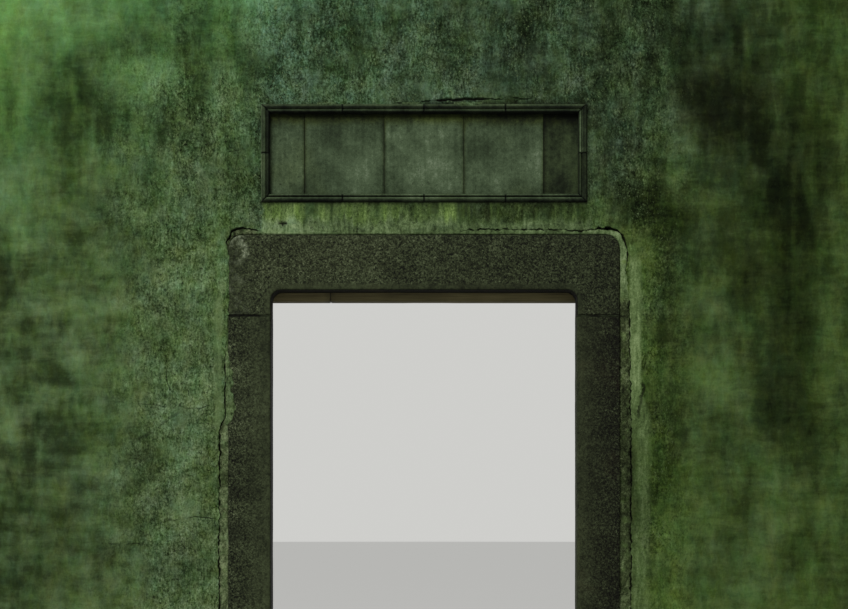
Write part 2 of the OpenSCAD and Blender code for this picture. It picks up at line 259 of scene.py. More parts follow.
def quads_of(nu, nv):
    """The quads of a grid of nu by nv points, where point (i, j) is number i * nv + j."""
    a = (np.arange(nu - 1)[:, None] * nv + np.arange(nv - 1)).ravel()
    return np.stack([a, a + nv, a + nv + 1, a + 1], 1)


def tube_quads(n, rows):
    """The quads of a tube of so many rows of n points each."""
    i = np.arange(n)
    ring = np.stack([i, (i + 1) % n, (i + 1) % n + n, i + n], 1)
    return (ring[None] + n * np.arange(rows - 1)[:, None, None]).reshape(-1, 4)


def make(name, points, faces):
    """A mesh object from points and faces."""
    mesh = bpy.data.meshes.new(name)
    mesh.from_pydata(np.asarray(points).tolist(), [], np.asarray(faces).tolist())
    obj = bpy.data.objects.new(name, mesh)
    bpy.context.scene.collection.objects.link(obj)
    return obj


def get_points(obj):
    co = np.empty(len(obj.data.vertices) * 3, np.float32)
    obj.data.vertices.foreach_get("co", co)
    return co.reshape(-1, 3).astype(float)


def set_points(obj, points):
    obj.data.vertices.foreach_set("co", points.astype(np.float32).ravel())
    obj.data.update()


def normals_of(obj):
    n = np.empty(len(obj.data.vertices) * 3, np.float32)
    obj.data.vertex_normals.foreach_get("vector", n)
    return n.reshape(-1, 3).astype(float)


def paint(obj, **fields):
    """Stores each field, one number for all points or one for each, for the materials to read."""
    for name, values in fields.items():
        attribute = obj.data.attributes.new(name, "FLOAT", "POINT")
        attribute.data.foreach_set("value", np.full(len(obj.data.vertices), values, np.float32))


def finish_piece(obj, material, replaced=(), angle=45):
    """Smooth faces with sharp edges, a material, and the body that the piece rides on."""
    obj.data.polygons.foreach_set("use_smooth", [True] * len(obj.data.polygons))
    obj.data.set_sharp_from_angle(angle=math.radians(angle))
    obj.data.materials.append(material)
    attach(obj, "root")
    if replaced:
        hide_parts(*replaced)
    return obj


def close_back(obj, point, normal, depth):
    """Makes a closed slab of an open surface, with a flat back that lies depth behind point."""
    bm = bmesh.new()
    bm.from_mesh(obj.data)
    rim = [e for e in bm.edges if e.is_boundary]
    made = bmesh.ops.extrude_edge_only(bm, edges=rim)["geom"]
    back = [v for v in made if isinstance(v, bmesh.types.BMVert)]
    n = Vector(normal)
    for v in back:
        v.co -= n * ((v.co - Vector(point)).dot(n) + depth)
    new = set(back)
    edges = [e for e in made if isinstance(e, bmesh.types.BMEdge) and new.issuperset(e.verts)]
    bmesh.ops.triangle_fill(bm, edges=edges, use_dissolve=False, normal=-n)
    bmesh.ops.recalc_face_normals(bm, faces=bm.faces)
    bm.to_mesh(obj.data)
    bm.free()


class Shader:
    """A material made of nodes, with short names for the nodes that the materials here need."""

    def __init__(self, name, roughness, specular=0.3):
        self.material = bpy.data.materials.new(name)
        self.material.use_nodes = True
        self.nodes = self.material.node_tree.nodes
        self.links = self.material.node_tree.links
        self.principled = self.nodes["Principled BSDF"]
        self.principled.inputs["Roughness"].default_value = roughness
        self.principled.inputs["Specular IOR Level"].default_value = specular
        self.place = self.nodes.new("ShaderNodeTexCoord").outputs["Object"]

    def node(self, kind, out=0, **inputs):
        """A node with its inputs set or linked. An input is named by its label or as in_0, in_1 and so on."""
        made = self.nodes.new(kind)
        for key, value in inputs.items():
            where = int(key[3:]) if key.startswith("in_") else key.replace("_", " ")
            if isinstance(value, bpy.types.NodeSocket):
                self.links.new(value, made.inputs[where])
            else:
                made.inputs[where].default_value = value
        return made.outputs[out]

    def math(self, operation, a, b=0.0):
        out = self.node("ShaderNodeMath", in_0=a, in_1=b)
        out.node.operation = operation
        return out

    def times(self, a, b):
        return self.math("MULTIPLY", a, b)

    def add(self, *terms):
        """The sum of values. A term can also be a pair: a value and how much of it is taken."""
        total, *others = [self.times(*term) if isinstance(term, tuple) else term for term in terms]
        for value in others:
            total = self.math("ADD", total, value)
        return total

    def moved(self, by):
        """The place of a point, moved by a vector."""
        return self.node("ShaderNodeVectorMath", in_0=self.place, in_1=by)

    def own_place(self):
        """The place of a point, moved by its brick's or tile's own number, so that none repeats another."""
        own = self.field("own")
        far = self.node("ShaderNodeCombineXYZ", X=self.times(own, 2.3), Y=own, Z=self.times(own, 1.7))
        return self.moved(far)

    def wavy(self, scale, reach):
        """The place of a point, pushed about by noise, so that marks don't run dead straight."""
        push = self.node("ShaderNodeTexNoise", out=1, Vector=self.place, Scale=scale, Detail=3.0)
        centred = self.node("ShaderNodeVectorMath", in_0=push, in_1=(-0.5, -0.5, -0.5))
        small = self.node("ShaderNodeVectorMath", in_0=centred, in_3=reach)
        small.node.operation = "SCALE"
        return self.moved(small)

    def noise(self, scale, detail=4.0, rough=0.55, place=None, shift=(0, 0, 0), zoom=1.0, warp=0.0):
        """Noise round zero, from about -1 to 1, with one scale or with one for each axis.

        Each axis is scaled first, then shifted, and zoom scales them all after that."""
        where = place or self.place
        if isinstance(scale, tuple):
            where = self.node("ShaderNodeMapping", Vector=where, Scale=scale, Location=shift)
            scale = zoom
        out = self.node("ShaderNodeTexNoise", Vector=where, Scale=scale, Detail=detail, Roughness=rough,
                        Distortion=warp)
        return self.times(self.math("SUBTRACT", out, 0.5), 5.0)

    def field(self, name):
        """A number that paint() stored on the mesh."""
        made = self.nodes.new("ShaderNodeAttribute")
        made.attribute_name = name
        return made.outputs["Fac"]

    def between(self, value, low, high, to_low=0.0, to_high=1.0):
        """value carried smoothly from one range to another, and held at its ends."""
        made = self.nodes.new("ShaderNodeMapRange")
        made.interpolation_type = "SMOOTHSTEP"
        self.links.new(value, made.inputs["Value"])
        for key, number in zip(("From Min", "From Max", "To Min", "To Max"), (low, high, to_low, to_high)):
            made.inputs[key].default_value = number
        return made.outputs["Result"]

    def ramp(self, value, stops):
        """A colour for a value from 0 to 1, from places and sRGB colours."""
        made = self.nodes.new("ShaderNodeValToRGB")
        self.links.new(value, made.inputs["Fac"])
        elements = made.color_ramp.elements
        elements.remove(elements[1])
        elements[0].position = stops[0][0]
        elements[0].color = srgb(*stops[0][1])
        for where, colour in stops[1:]:
            elements.new(where).color = srgb(*colour)
        return made.outputs["Color"]

    def mix(self, share, a, b, kind="MIX"):
        """a where share is 0 and b where it is 1. Colours may be sRGB numbers."""
        made = self.nodes.new("ShaderNodeMix")
        made.data_type = "RGBA"
        made.blend_type = kind
        for socket, value in (("Factor_Float", share), ("A_Color", a), ("B_Color", b)):
            target = next(s for s in made.inputs if s.identifier == socket)
            if isinstance(value, bpy.types.NodeSocket):
                self.links.new(value, target)
            else:
                target.default_value = srgb(*value) if isinstance(value, tuple) else value
        return next(s for s in made.outputs if s.identifier == "Result_Color")

    def finish(self, colour, height, depth):
        """Links the colour, and a height from 0 to 1 that is depth metres in the bump."""
        self.links.new(colour, self.principled.inputs["Base Color"])
        bump = self.node("ShaderNodeBump", Height=height, Distance=depth, Strength=1.0)
        self.links.new(bump, self.principled.inputs["Normal"])
        return self.material


def plaster_material():
    """Old lime plaster, green with algae, with dark runs, trowel marks, pits, cracks and pale lime.

    The mesh says how light the plaster is, and how much red and blue it has for its green."""
    s = Shader("plaster", 0.95, 0.08)
    near, given = s.field("pitted"), s.field("tone")
    column = s.noise((34, 34, 1.1), 2)
    slow = s.noise((5, 5, 0.7), 3)
    runs = s.moved(s.node("ShaderNodeCombineXYZ", Z=s.times(s.add(column, slow), 0.05)))
    wavy = s.wavy(6, 0.06)
    blot = s.noise((3.4, 3.4, 2.4), 7, 0.66, runs)
    patch = s.noise((11, 11, 8), 7, 0.7, wavy)
    smear = s.noise((7, 7, 34), 6, 0.66, wavy)
    blotch = s.noise((26, 26, 20), 6, 0.7, wavy)
    brush = s.noise((58, 58, 7), 6, 0.7, wavy)
    scratch = s.noise((120, 120, 34), 5, 0.75, wavy)
    grain = s.noise(88, 8, 0.84)
    crisp = s.between(near, 0.0, 1.0, 0.08, 1.0)
    pit = s.noise((1, 1, 0.7), 5, 0.7, shift=(3, 7, 1), zoom=92)
    pits = s.times(s.between(pit, 0.42, 0.7), near)
    dark = s.between(patch, 0.2, 0.7)
    worn = s.between(patch, -0.35, -0.8)
    fleck = s.noise((1, 1, 0.6), 5, 0.7, shift=(8, 2, 5), zoom=104)
    flecks = s.times(s.between(fleck, 0.5, 0.85), s.between(near, 0.1, 0.9, 0.03, 0.75))
    fine = s.times(s.add((scratch, 0.20), (grain, 0.38), (brush, 0.10), (blotch, 0.12)), crisp)
    middle = 0.51
    value = s.add(middle, (given, 0.5), (blot, 0.12), (patch, 0.11), (dark, -0.08), (worn, 0.06),
                  (smear, 0.07), (blotch, 0.04), fine)
    level = s.ramp(value, [(place, (grey, grey, grey)) for place, grey in (
        (0.0, 11), (0.2, 32), (0.4, 60), (0.55, 87), (0.75, 117), (1.0, 152))])
    hue = s.noise((7, 7, 6), 4, 0.6, wavy, (4, 4, 8))
    tint = s.noise((30, 30, 17), 4, 0.65, wavy, (7, 1, 2))
    warm = s.noise((12, 12, 9), 5, 0.65, wavy, (1, 9, 5))
    above = s.math("SUBTRACT", value, middle)
    bluer = s.math("MAXIMUM", s.add(1.0, (above, 0.62), (hue, 0.19), (tint, 0.17), (fine, 0.45)), 0.4)
    redder = s.add(1.0, (above, 0.12), (warm, 0.14), (hue, 0.03), (fine, 0.28))
    red, blue = s.times(s.field("red"), redder), s.times(s.field("blue"), bluer)
    colour = s.node("ShaderNodeCombineColor", Red=s.times(level, red), Green=level, Blue=s.times(level, blue))
    colour = s.mix(flecks, colour, (118, 138, 94))
    pale = s.ramp(s.add(0.5, (given, 0.3), (grain, 0.30), (brush, 0.22), (blot, 0.16)), [
        (0.0, (30, 39, 22)), (0.25, (60, 74, 45)), (0.5, (94, 114, 72)), (1.0, (160, 178, 132))])
    pale = s.mix(s.field("moss"), pale, (238, 255, 176), "MULTIPLY")
    colour = s.mix(s.field("lime"), colour, pale)
    coarse = s.ramp(s.add(0.5, (given, 0.6), (grain, 0.56), (patch, 0.24), (blot, 0.10)), [
        (0.0, (14, 15, 8)), (0.5, (61, 70, 44)), (1.0, (136, 149, 108))])
    colour = s.mix(s.field("mortar"), colour, coarse)
    colour = s.mix(s.times(pits, 0.85), colour, (14, 18, 8))
    frayed = s.math("ABSOLUTE", s.add(s.field("hair"), (grain, 0.0022)))
    hair = s.times(s.between(frayed, 0.0011, 0.0026, 1.0, 0.0), s.field("hair_share"))
    colour = s.mix(hair, colour, (15, 19, 9))
    # Dark cracks, joints and the chipped hole, and painted shadow under the tablet's frame and to its right
    colour = s.mix(s.field("dirt"), colour, (12, 13, 7))
    height = s.add((s.times(grain, 0.4), crisp), (patch, 0.22), (scratch, 0.12), (smear, 0.1), (pits, -0.9),
                   (hair, -0.9))
    return s.finish(colour, height, 0.0028)


def granite_material():
    """Pecked granite, dark with weather, with pale grains, dark pits and a smoother band at the opening."""
    s = Shader("granite", 0.9, 0.15)
    peck = s.noise(108, 4, 0.76)
    fleck = s.noise((1, 1, 1), 3, 0.75, shift=(5, 2, 9), zoom=160)
    pit = s.noise((1, 1, 1), 3, 0.65, shift=(1, 8, 4), zoom=84)
    damp = s.noise(3.2, 6, 0.62)
    cloud = s.noise((16, 16, 16), 5, 0.7, shift=(2, 2, 2))
    blotch = s.noise((46, 46, 46), 3, 0.6, shift=(6, 1, 3))
    runs = s.noise((30, 30, 1.6))
    bite = s.math("SUBTRACT", 1.0, s.times(s.field("smooth"), 0.72))
    value = s.add(0.545, (s.field("tone"), 0.5), (s.times(peck, bite), 0.36), (s.times(fleck, bite), 0.21),
                  (damp, 0.09), (cloud, 0.10), (runs, 0.03), s.between(blotch, 0.1, 0.8, 0.01, -0.11))
    colour = s.ramp(value, [
        (0.0, (5, 6, 3)), (0.25, (16, 19, 10)), (0.45, (37, 43, 26)), (0.65, (61, 69, 45)),
        (0.85, (81, 92, 63)), (1.0, (120, 128, 98))])
    brown = s.mix(s.between(damp, 0.1, 0.9, 0.1, 0.5), colour, (40, 33, 20))
    colour = s.mix(s.field("brown"), colour, brown)
    colour = s.mix(s.times(s.between(fleck, 0.8, 1.3, 0.0, 0.5), bite), colour, (112, 122, 88))
    colour = s.mix(s.times(s.between(pit, 0.2, 0.6, 0.0, 0.85), bite), colour, (9, 10, 5))
    pale = s.ramp(s.add(0.5, (peck, 0.3), (fleck, 0.2)), [
        (0.0, (44, 50, 36)), (0.55, (108, 118, 92)), (1.0, (186, 190, 168))])
    colour = s.mix(s.field("lime"), colour, pale)
    colour = s.mix(s.field("dirt"), colour, (12, 12, 7))
    height = s.add((s.times(peck, bite), 0.5), (s.times(s.between(pit, 0.5, 0.95), bite), -0.7),
                   (fleck, 0.12), (damp, 0.1))
    return s.finish(colour, height, 0.0032)


def square_brick_material():
    """Rubbed square brick, worn smooth, with faint runs and pores."""
    s = Shader("square_brick", 0.9, 0.12)
    s.place = s.own_place()
    cloud = s.noise(7, 5, 0.6)
    runs = s.noise((55, 55, 3))
    grit = s.noise(58, 7, 0.75)
    pore = s.noise(220, 3, 0.7)
    spot = s.noise((1, 1, 1), shift=(4, 4, 2), zoom=62)
    value = s.add(0.5, (s.field("tone"), 0.5), (cloud, 0.17), (runs, 0.06), (grit, 0.13), (pore, 0.07))
    colour = s.ramp(value, [
        (0.0, (4, 8, 3)), (0.25, (28, 36, 23)), (0.5, (53, 66, 45)), (0.75, (79, 95, 69)),
        (1.0, (124, 138, 112))])
    moss = s.times(s.between(cloud, -0.9, 0.5, 0.5, 1.0), s.field("moss"))
    colour = s.mix(moss, colour, (255, 244, 168), "MULTIPLY")
    colour = s.mix(s.times(s.between(spot, 0.7, 1.0), 0.5), colour, (24, 29, 19))
    # Dark seams and joints, and painted shade in the quirks of the frame
    colour = s.mix(s.field("dirt"), colour, (13, 16, 12))
    height = s.add((cloud, 0.3), (pore, 0.3), (runs, 0.1), (spot, -0.1))
    return s.finish(colour, height, 0.0009)


def timber_material():
    """Bare old timber with open grain along X."""
    s = Shader("timber", 0.78, 0.25)
    ring = s.noise((1.2, 26, 26), 5, 0.6, warp=0.3)
    fibre = s.noise((5, 320, 320), 3, 0.6)
    stain = s.noise(3.5)
    value = s.add(0.5, (s.field("tone"), 0.5), (ring, 0.12), (fibre, 0.12), (stain, 0.08))
    colour = s.ramp(value, [
        (0.0, (26, 24, 15)), (0.3, (62, 57, 36)), (0.55, (100, 94, 62)), (0.8, (130, 122, 86)),
        (1.0, (160, 152, 118))])
    # Dark seam between the boards, and painted shade along the board's bottom edge and underside
    colour = s.mix(s.field("dirt"), colour, (15, 13, 9))
    return s.finish(colour, s.add((ring, 0.35), (fibre, 0.5)), 0.0012)


def brick_material():
    """Grey brick of the corbels, the ridge course and the end blocks."""
    s = Shader("grey_brick", 0.88, 0.25)
    s.place = s.own_place()
    cloud = s.noise(9, 5, 0.6)
    pore = s.noise(170, 4, 0.7)
    runs = s.noise((40, 40, 3))
    value = s.add(0.48, (s.field("tone"), 0.35), (cloud, 0.12), (pore, 0.09), (runs, 0.06))
    colour = s.ramp(value, [
        (0.0, (16, 18, 15)), (0.3, (40, 45, 37)), (0.5, (62, 68, 57)), (0.75, (90, 96, 82)),
        (1.0, (130, 134, 118))])
    moss = s.between(s.noise((1, 1, 1), 6, shift=(8, 1, 3), zoom=5), 0.1, 1.0, 0.0, 0.75)
    colour = s.mix(moss, colour, (52, 66, 34))
    colour = s.mix(s.field("dirt"), colour, (17, 19, 13))
    return s.finish(colour, s.add((pore, 0.4), (cloud, 0.25)), 0.0014)


def mortar_material():
    """Coarse lime mortar of the joints, the tile bed and the ridge's foot."""
    s = Shader("mortar", 0.95, 0.15)
    sand = s.noise(210, 4, 0.75)
    lumps = s.noise(34)
    cloud = s.noise(4, 5)
    colour = s.ramp(s.add(0.5, (sand, 0.12), (lumps, 0.1), (cloud, 0.14)), [
        (0.0, (20, 23, 15)), (0.35, (46, 54, 35)), (0.6, (74, 86, 56)), (1.0, (132, 142, 106))])
    colour = s.mix(s.field("dirt"), colour, (14, 15, 9))
    return s.finish(colour, s.add((sand, 0.4), (lumps, 0.5)), 0.0020)


def tile_material():
    """Unglazed grey clay tiles with lichen and a light bloom."""
    s = Shader("clay_tile", 0.8, 0.3)
    s.place = s.own_place()
    cloud = s.noise(8, 5, 0.6)
    pore = s.noise(230, 3, 0.7)
    lichen = s.noise((1, 1, 1), 5, 0.65, shift=(2, 9, 5), zoom=34)
    colour = s.ramp(s.add(0.45, (s.field("tone"), 0.3), (cloud, 0.13), (pore, 0.06)), [
        (0.0, (14, 16, 16)), (0.3, (34, 38, 37)), (0.5, (54, 59, 56)), (0.75, (80, 85, 78)),
        (1.0, (122, 126, 114))])
    moss = s.times(s.between(lichen, 0.15, 0.8), s.between(cloud, -0.4, 0.6, 0.15, 0.8))
    colour = s.mix(moss, colour, (58, 72, 36))
    colour = s.mix(s.times(s.between(lichen, -0.9, -0.55, 1.0, 0.0), 0.5), colour, (112, 116, 98))
    return s.finish(colour, s.add((pore, 0.3), (cloud, 0.2), (moss, 0.3)), 0.0012)


# Places where the front's plaster is darker or lighter than around: middle in X and Z, half width and
# half height in centimetres, and strength in hundredths
STAINS = [
    (-205, 399, 62, 38, 42), (-142, 367, 22, 14, 38), (-84, 402, 13, 24, 54), (-214, 336, 14, 42, 20),
    (-166, 368, 12, 34, -42), (-147, 386, 12, 13, -30), (-182, 360, 12, 22, -16), (-122, 352, 16, 18, -16),
    (-82, 372, 14, 12, -10), (-206, 300, 12, 18, 16), (-180, 276, 16, 16, -12), (16, 394, 10, 16, -8),
    (-112, 378, 12, 22, -28), (-178, 330, 12, 30, -8), (-230, 210, 40, 55, -6), (-184, 192, 16, 12, -34),
    (-152, 228, 50, 70, 14), (-194, 224, 17, 22, -44), (-205, 115, 45, 60, -20), (-107, 200, 20, 180, 22),
    (-108, 314, 14, 30, -14), (-209, 278, 8, 18, -26), (-142, 221, 16, 8, 22), (-192, 320, 12, 8, 22),
    (-177, 400, 5, 12, -22), (-155, 100, 55, 14, 24), (-42, 360, 14, 6, 28), (22, 360, 30, 5, 22),
    (-17, 390, 6, 7, -20), (-126, 250, 9, 10, -14), (42, 394, 16, 18, -24), (124, 392, 10, 30, -36),
    (124, 332, 13, 20, 30), (131, 376, 7, 26, -16), (155, 353, 24, 22, -56), (162, 313, 15, 20, -24),
    (186, 326, 17, 32, -48), (180, 240, 20, 70, -26), (148, 356, 8, 16, -20), (134, 355, 5, 14, 16),
    (186, 360, 16, 13, 26), (117, 294, 15, 14, -36), (215, 390, 30, 30, 2), (125, 110, 30, 35, 30),
    (185, 140, 46, 46, 18), (210, 230, 16, 60, 20), (106, 245, 10, 40, 12), (96, 356, 20, 50, -16),
    (162, 397, 16, 12, -12), (204, 286, 16, 32, -14), (200, 192, 16, 14, -16), (122, 255, 8, 30, -12),
    (120, 175, 6, 40, -6), (-178, 372, 6, 20, -14), (-134, 388, 7, 16, -14), (-178, 322, 14, 12, -10),
    (-206, 366, 4, 24, -14), (105, 306, 11, 13, -38), (116, 320, 5, 20, -16), (-206, 262, 10, 16, -12),
    (-206, 152, 12, 18, -12), (-164, 295, 16, 14, -18), (153, 385, 8, 18, -30), (112, 367, 9, 11, -26),
    (142, 320, 13, 13, -30), (136, 217, 34, 10, 18), (141, 180, 15, 26, 16), (110, 138, 9, 34, -28),
    (188, 131, 14, 12, -24), (166, 153, 10, 14, -18), (170, 98, 50, 12, 18), (-142, 132, 12, 16, -12),
    (132, 242, 14, 22, -6), (-207, 192, 6, 10, 20), (-172, 265, 13, 20, -20), (-35, 395, 42, 9, -17),
    (-160, 383, 15, 8, -20), (-162, 140, 17, 8, 22), (-195, 166, 20, 12, -14), (105, 401, 10, 7, -24),
    (147, 384, 10, 10, -16), (198, 258, 9, 9, 18), (-110, 315, 9, 10, 17), (148, 334, 10, 10, -15),
    (-134, 295, 9, 9, -19), (113, 246, 6, 12, -14), (-208, 358, 3.5, 14, -14), (-188, 362, 3, 18, -16),
]

# How much lime hangs in drips under the tablet, along X
DRIPS = [
    (-0.82, 0.7), (-0.77, 1.0), (-0.63, 1.0), (-0.59, 0.25), (-0.42, 0.25), (-0.38, 0.75), (-0.13, 0.7),
    (-0.10, 0.3), (0.06, 0.25), (0.085, 1.0), (0.155, 0.95), (0.18, 0.1), (0.48, 0.05), (0.80, 0.2),
]

# Cracks and scores in the front's plaster: start and end in X and Z, how much they show, how wide they are
HAIRLINES = [
    (-1.294, 2.205, -1.272, 2.105, 0.9, 1), (-1.470, 2.028, -1.300, 2.020, 0.6, 1),
    (-1.190, 2.008, -1.090, 2.020, 0.8, 1), (-1.430, 1.850, -1.240, 1.980, 0.5, 4),
    (-1.250, 1.452, -1.060, 1.466, 0.8, 1), (-1.560, 1.334, -1.420, 1.326, 0.7, 1),
    (1.106, 2.130, 1.072, 1.985, 0.8, 3), (-1.010, 3.285, -0.935, 3.296, 0.4, 1),
    (0.560, 3.705, 0.576, 3.640, 0.5, 1), (0.905, 3.330, 0.900, 3.230, 0.6, 1),
    (1.130, 3.120, 1.122, 3.010, 0.7, 1),
]


def front_tone(p):
    """How light the front's plaster is: darker to the right, with stains that run down."""
    x, z = p[:, 0], p[:, 2]
    drawn = noises(p, (0.8, (0.19, 1, 0.36), 20), (0.8, (0.085, 1, 0.30), 21), (0.9, (0.045, 1, 0.24), 22),
                   (0.6, (0.024, 1, 0.11), 28))
    clouds = noises(p, (0.9, (0.24, 1, 0.09), 16), (0.9, (0.06, 1, 0.16), 17), (0.8, (0.10, 1, 0.03), 18),
                    (0.6, (0.026, 1, 0.06), 19))
    share = np.maximum(step(2.8, 3.3, z), 0.75 * step(0.2, 0.9, x))
    weather = 1.3 * np.tanh(1.1 * (clouds + (drawn - clouds) * share))
    weather *= 1 - 0.55 * step(1.5, 0.7, reach(x, z, 1.53, 3.53, 0.24, 0.20))
    columns = noises(p, (0.05, (0.075, 1, 0.9), 24), (0.04, (0.035, 1, 0.5), 25))
    strokes = noises(p, (0.04, (0.20, 1, 0.06), 26), (0.03, (0.12, 1, 0.022), 29))
    cloud = 0.10 * fractal(p, (0.17, 1, 0.06), 3, 27) + 0.10 * fractal(p, (0.06, 1, 0.15), 3, 30)
    tone = -0.045 * x + columns * step(1.4, 2.9, z + 0.35 * x) + cloud + 0.12 * weather
    tone += strokes * step(3.5, 2.9, z) * step(0.2, -0.6, x)
    for stain in STAINS:
        *shape, strength = (v / 100 for v in stain)
        tone += strength * step(1.5, 0.3, reach(x, z, *shape) + 0.17 * weather)
    return tone


def front_hues(p):
    """How much red and blue the front's plaster has for its green, as light."""
    x, z = p[:, 0], p[:, 2]
    low = step(4.1, 2.6, z)
    between = step(-1.5, 0.6, x)
    red = 0.672 + 0.078 * between + (0.103 - 0.068 * between) * low + 0.012 * noise(p, 0.35, 62)
    red -= 0.02 * step(1.1, 1.3, x) * step(3.3, 2.6, z)
    red -= 0.03 * step(-1.75, -1.95, x) * hump(z, 2.6, 2.9, 3.5, 3.75)
    red += 0.03 * step(0.34, 0.12, np.abs(x + 1.12)) * hump(z, 3.0, 3.2, 3.6, 3.9)
    red += 0.05 * step(1.3, 0.5, reach(x, z, 1.50, 3.53, 0.30, 0.25))
    red -= 0.03 * step(0.10, 0.05, np.abs(x - 1.14)) * step(2.75, 2.6, z)
    left = 0.505 + 0.040 * step(3.6, 2.9, z) + 0.03 * step(3.0, 1.5, z)
    left += step(-1.8, -1.2, x) * (0.03 + 0.04 * step(3.9, 3.2, z) - 0.055 * step(2.95, 2.4, z))
    left -= 0.05 * step(-1.95, -2.08, x) * step(3.2, 3.4, z)
    right = 0.465 + 0.14 * step(2.9, 3.4, z) * step(2.0, 1.3, x) + 0.035 * step(0.4, 0.1, np.abs(x - 1.55))
    right -= 0.03 * step(0.2, 0.05, np.abs(x - 1.2)) * step(2.5, 2.2, z)
    right += 0.03 * step(0.30, 0.15, np.abs(x - 1.3)) * hump(z, 2.3, 2.5, 2.9, 3.0)
    right += 0.07 * step(0.16, 0.05, np.abs(x - 1.01)) * hump(z, 2.9, 3.0, 3.4, 3.6)
    blue = left * (1 - between) + right * between
    over_gate = step(1.0, 0.7, np.abs(x)) * step(2.86, 2.92, z)
    blue += (0.67 - blue) * over_gate + 0.02 * noise(p, 0.3, 63)
    return as_light(red), as_light(blue)


def hairlines(p):
    """The distance to the nearest fine crack, signed by side, and how much of that crack shows."""
    x, z = p[:, 0], p[:, 2]
    away = np.full(len(p), 0.05)
    share = np.zeros(len(p))
    wander = noises(p, (0.009, 0.05, 64), (0.006, 0.024, 65))
    for x0, z0, x1, z1, strength, wide in HAIRLINES:
        length = math.hypot(x1 - x0, z1 - z0)
        along = ((x - x0) * (x1 - x0) + (z - z0) * (z1 - z0)) / length
        across = ((x - x0) * (z1 - z0) - (z - z0) * (x1 - x0)) / length + wander
        beyond = np.maximum(np.maximum(-along, along - length), 0)
        near = (beyond < 0.03) & (np.abs(across) < 0.04)
        away = np.where(near, across / wide, away)
        shown = strength * step(0.03, 0.0, beyond) * step(-0.9, 0.1, noise(p, 0.05, 66))
        share = np.where(near, shown, share)
    return away, share


def back_tone(p):
    """How light the plaster of the back, the ends and the reveals is, darker at the eaves and the foot."""
    ragged = p[:, 2] + noises(p, (0.12, (0.05, 0.05, 1.2), 31), (0.14, (0.16, 0.16, 1.6), 32))
    eaves = step(EAVES_Z - 0.75, EAVES_Z, ragged)
    foot = step(FOOT_Z + 0.7, FOOT_Z, ragged)
    return 0.05 + 0.26 * fractal(p, (0.9, 0.9, 0.7), 3, 33) - 0.34 * eaves - 0.24 * foot


def under_tablet(p):
    """1 on the band between the lintel and the tablet, where lime has run down."""
    x, z = p[:, 0], p[:, 2]
    inside = hump(x + 0.012 * noise(p, 0.03, 41), -0.818, -0.800, 0.800, 0.860)
    return inside * hump(z, LINTEL_TOP - 0.01, LINTEL_TOP, TABLET_LOW - 0.004, TABLET_LOW + 0.02)


def ledge_crack(p):
    """1 in the ragged crack over the tablet's frame."""
    x, z = p[:, 0], p[:, 2]
    line = TABLET_HIGH + np.interp(x, (-0.15, 0.03, 0.07, 0.30, 0.55), (0.006, 0.016, 0.022, 0.027, 0.030))
    line += noises(p, (0.005, (0.03, 1, 9), 60), (0.003, (0.012, 1, 9), 67))
    thick = hump(x, 0.03, 0.08, 0.28, 0.33)
    half = 0.0022 + (0.0052 + 0.003 * noise(p, (0.045, 1, 9), 61)) * thick
    shown = hump(x, -0.16, -0.10, 0.50, 0.56) * np.maximum(thick, step(-0.5, 0.0, noise(p, (0.06, 1, 9), 68)))
    return shown * step(1.1, 0.5, np.abs(z - line) / np.maximum(half, 0.0015))


def from_crack(d, away, wide):
    """Distance from the middle of the crack round the stones, for a width that counts as 1."""
    return np.abs(d - away) / np.maximum(wide, 1e-4)


def from_chip(p):
    """Distance from the hole that was chipped under the tablet, for a half width that counts as 1."""
    return reach(p[:, 0], p[:, 2], -0.705, 2.935, 0.026, 0.011) + 0.25 * noise(p, 0.02, 59)


def front_relief(p):
    """How far the front's plaster lies behind its plane, in metres."""
    s, d = around(p[:, 0], p[:, 2])
    away, wide = crack_line(s)
    behind = 0.0022 + 0.0016 * fractal(p, (0.42, 1, 0.30), 3, 51)
    behind += noises(p, (0.0005, (0.30, 1, 0.022), 54), (0.0004, (0.05, 1, 0.04), 55))
    behind += 0.0022 * step(0.62, 0.9, noise(p, (0.045, 1, 0.035), 56)) - 0.0016 * under_tablet(p)
    behind += 1.7 * wide * (1 - step(0.30, 0.62, from_crack(d, away, wide)))
    behind -= 0.0012 * step(0.02, 0.0, np.abs(d - away - wide * 0.8)) * step(0.001, 0.004, wide)
    margin = step(away + 0.002, away - 0.002, d) * rough_mortar(s)
    behind += margin * (0.0022 + 0.0030 * np.abs(noise(p, 0.018, 57)) + 0.0016 * noise(p, 0.008, 58))
    behind += 0.004 * step(0.005, 0.0, d) * step(0.10, 0.02, np.abs(s - OUTLINE_LEN / 2) - 1.9)
    return behind + 0.011 * step(1.0, 0.7, from_chip(p)) + 0.009 * ledge_crack(p)


def rough_mortar(s):
    """Where the strip between the stones and the crack is coarse mortar, along the stones' outline."""
    return graph(s, [
        (left_side(0.15), 1), (left_side(1.90), 1), (left_side(2.26), 0.8), (left_side(2.32), 0),
        (left_side(2.79), 0), (left_side(2.81), 1), (over(-0.86), 1), (over(-0.80), 0),
        (right_side(2.57), 0), (right_side(2.53), 1), (right_side(2.46), 0.9), (right_side(0.15), 0.9)])


def smooth_lime(s):
    """Where that strip is smooth pale lime, along the stones' outline."""
    return graph(s, [
        (left_side(0.15), 0.40), (left_side(1.90), 0.45), (left_side(1.97), 0.85), (left_side(2.26), 0.65),
        (left_side(2.30), 0), (over(0.05), 0.2), (over(0.25), 0.8), (over(0.88), 0.95),
        (right_side(2.66), 0.9), (right_side(2.60), 0.75), (right_side(2.55), 0.15),
        (right_side(1.5), 0.15), (right_side(1.2), 0.35), (right_side(0.15), 0.2)])


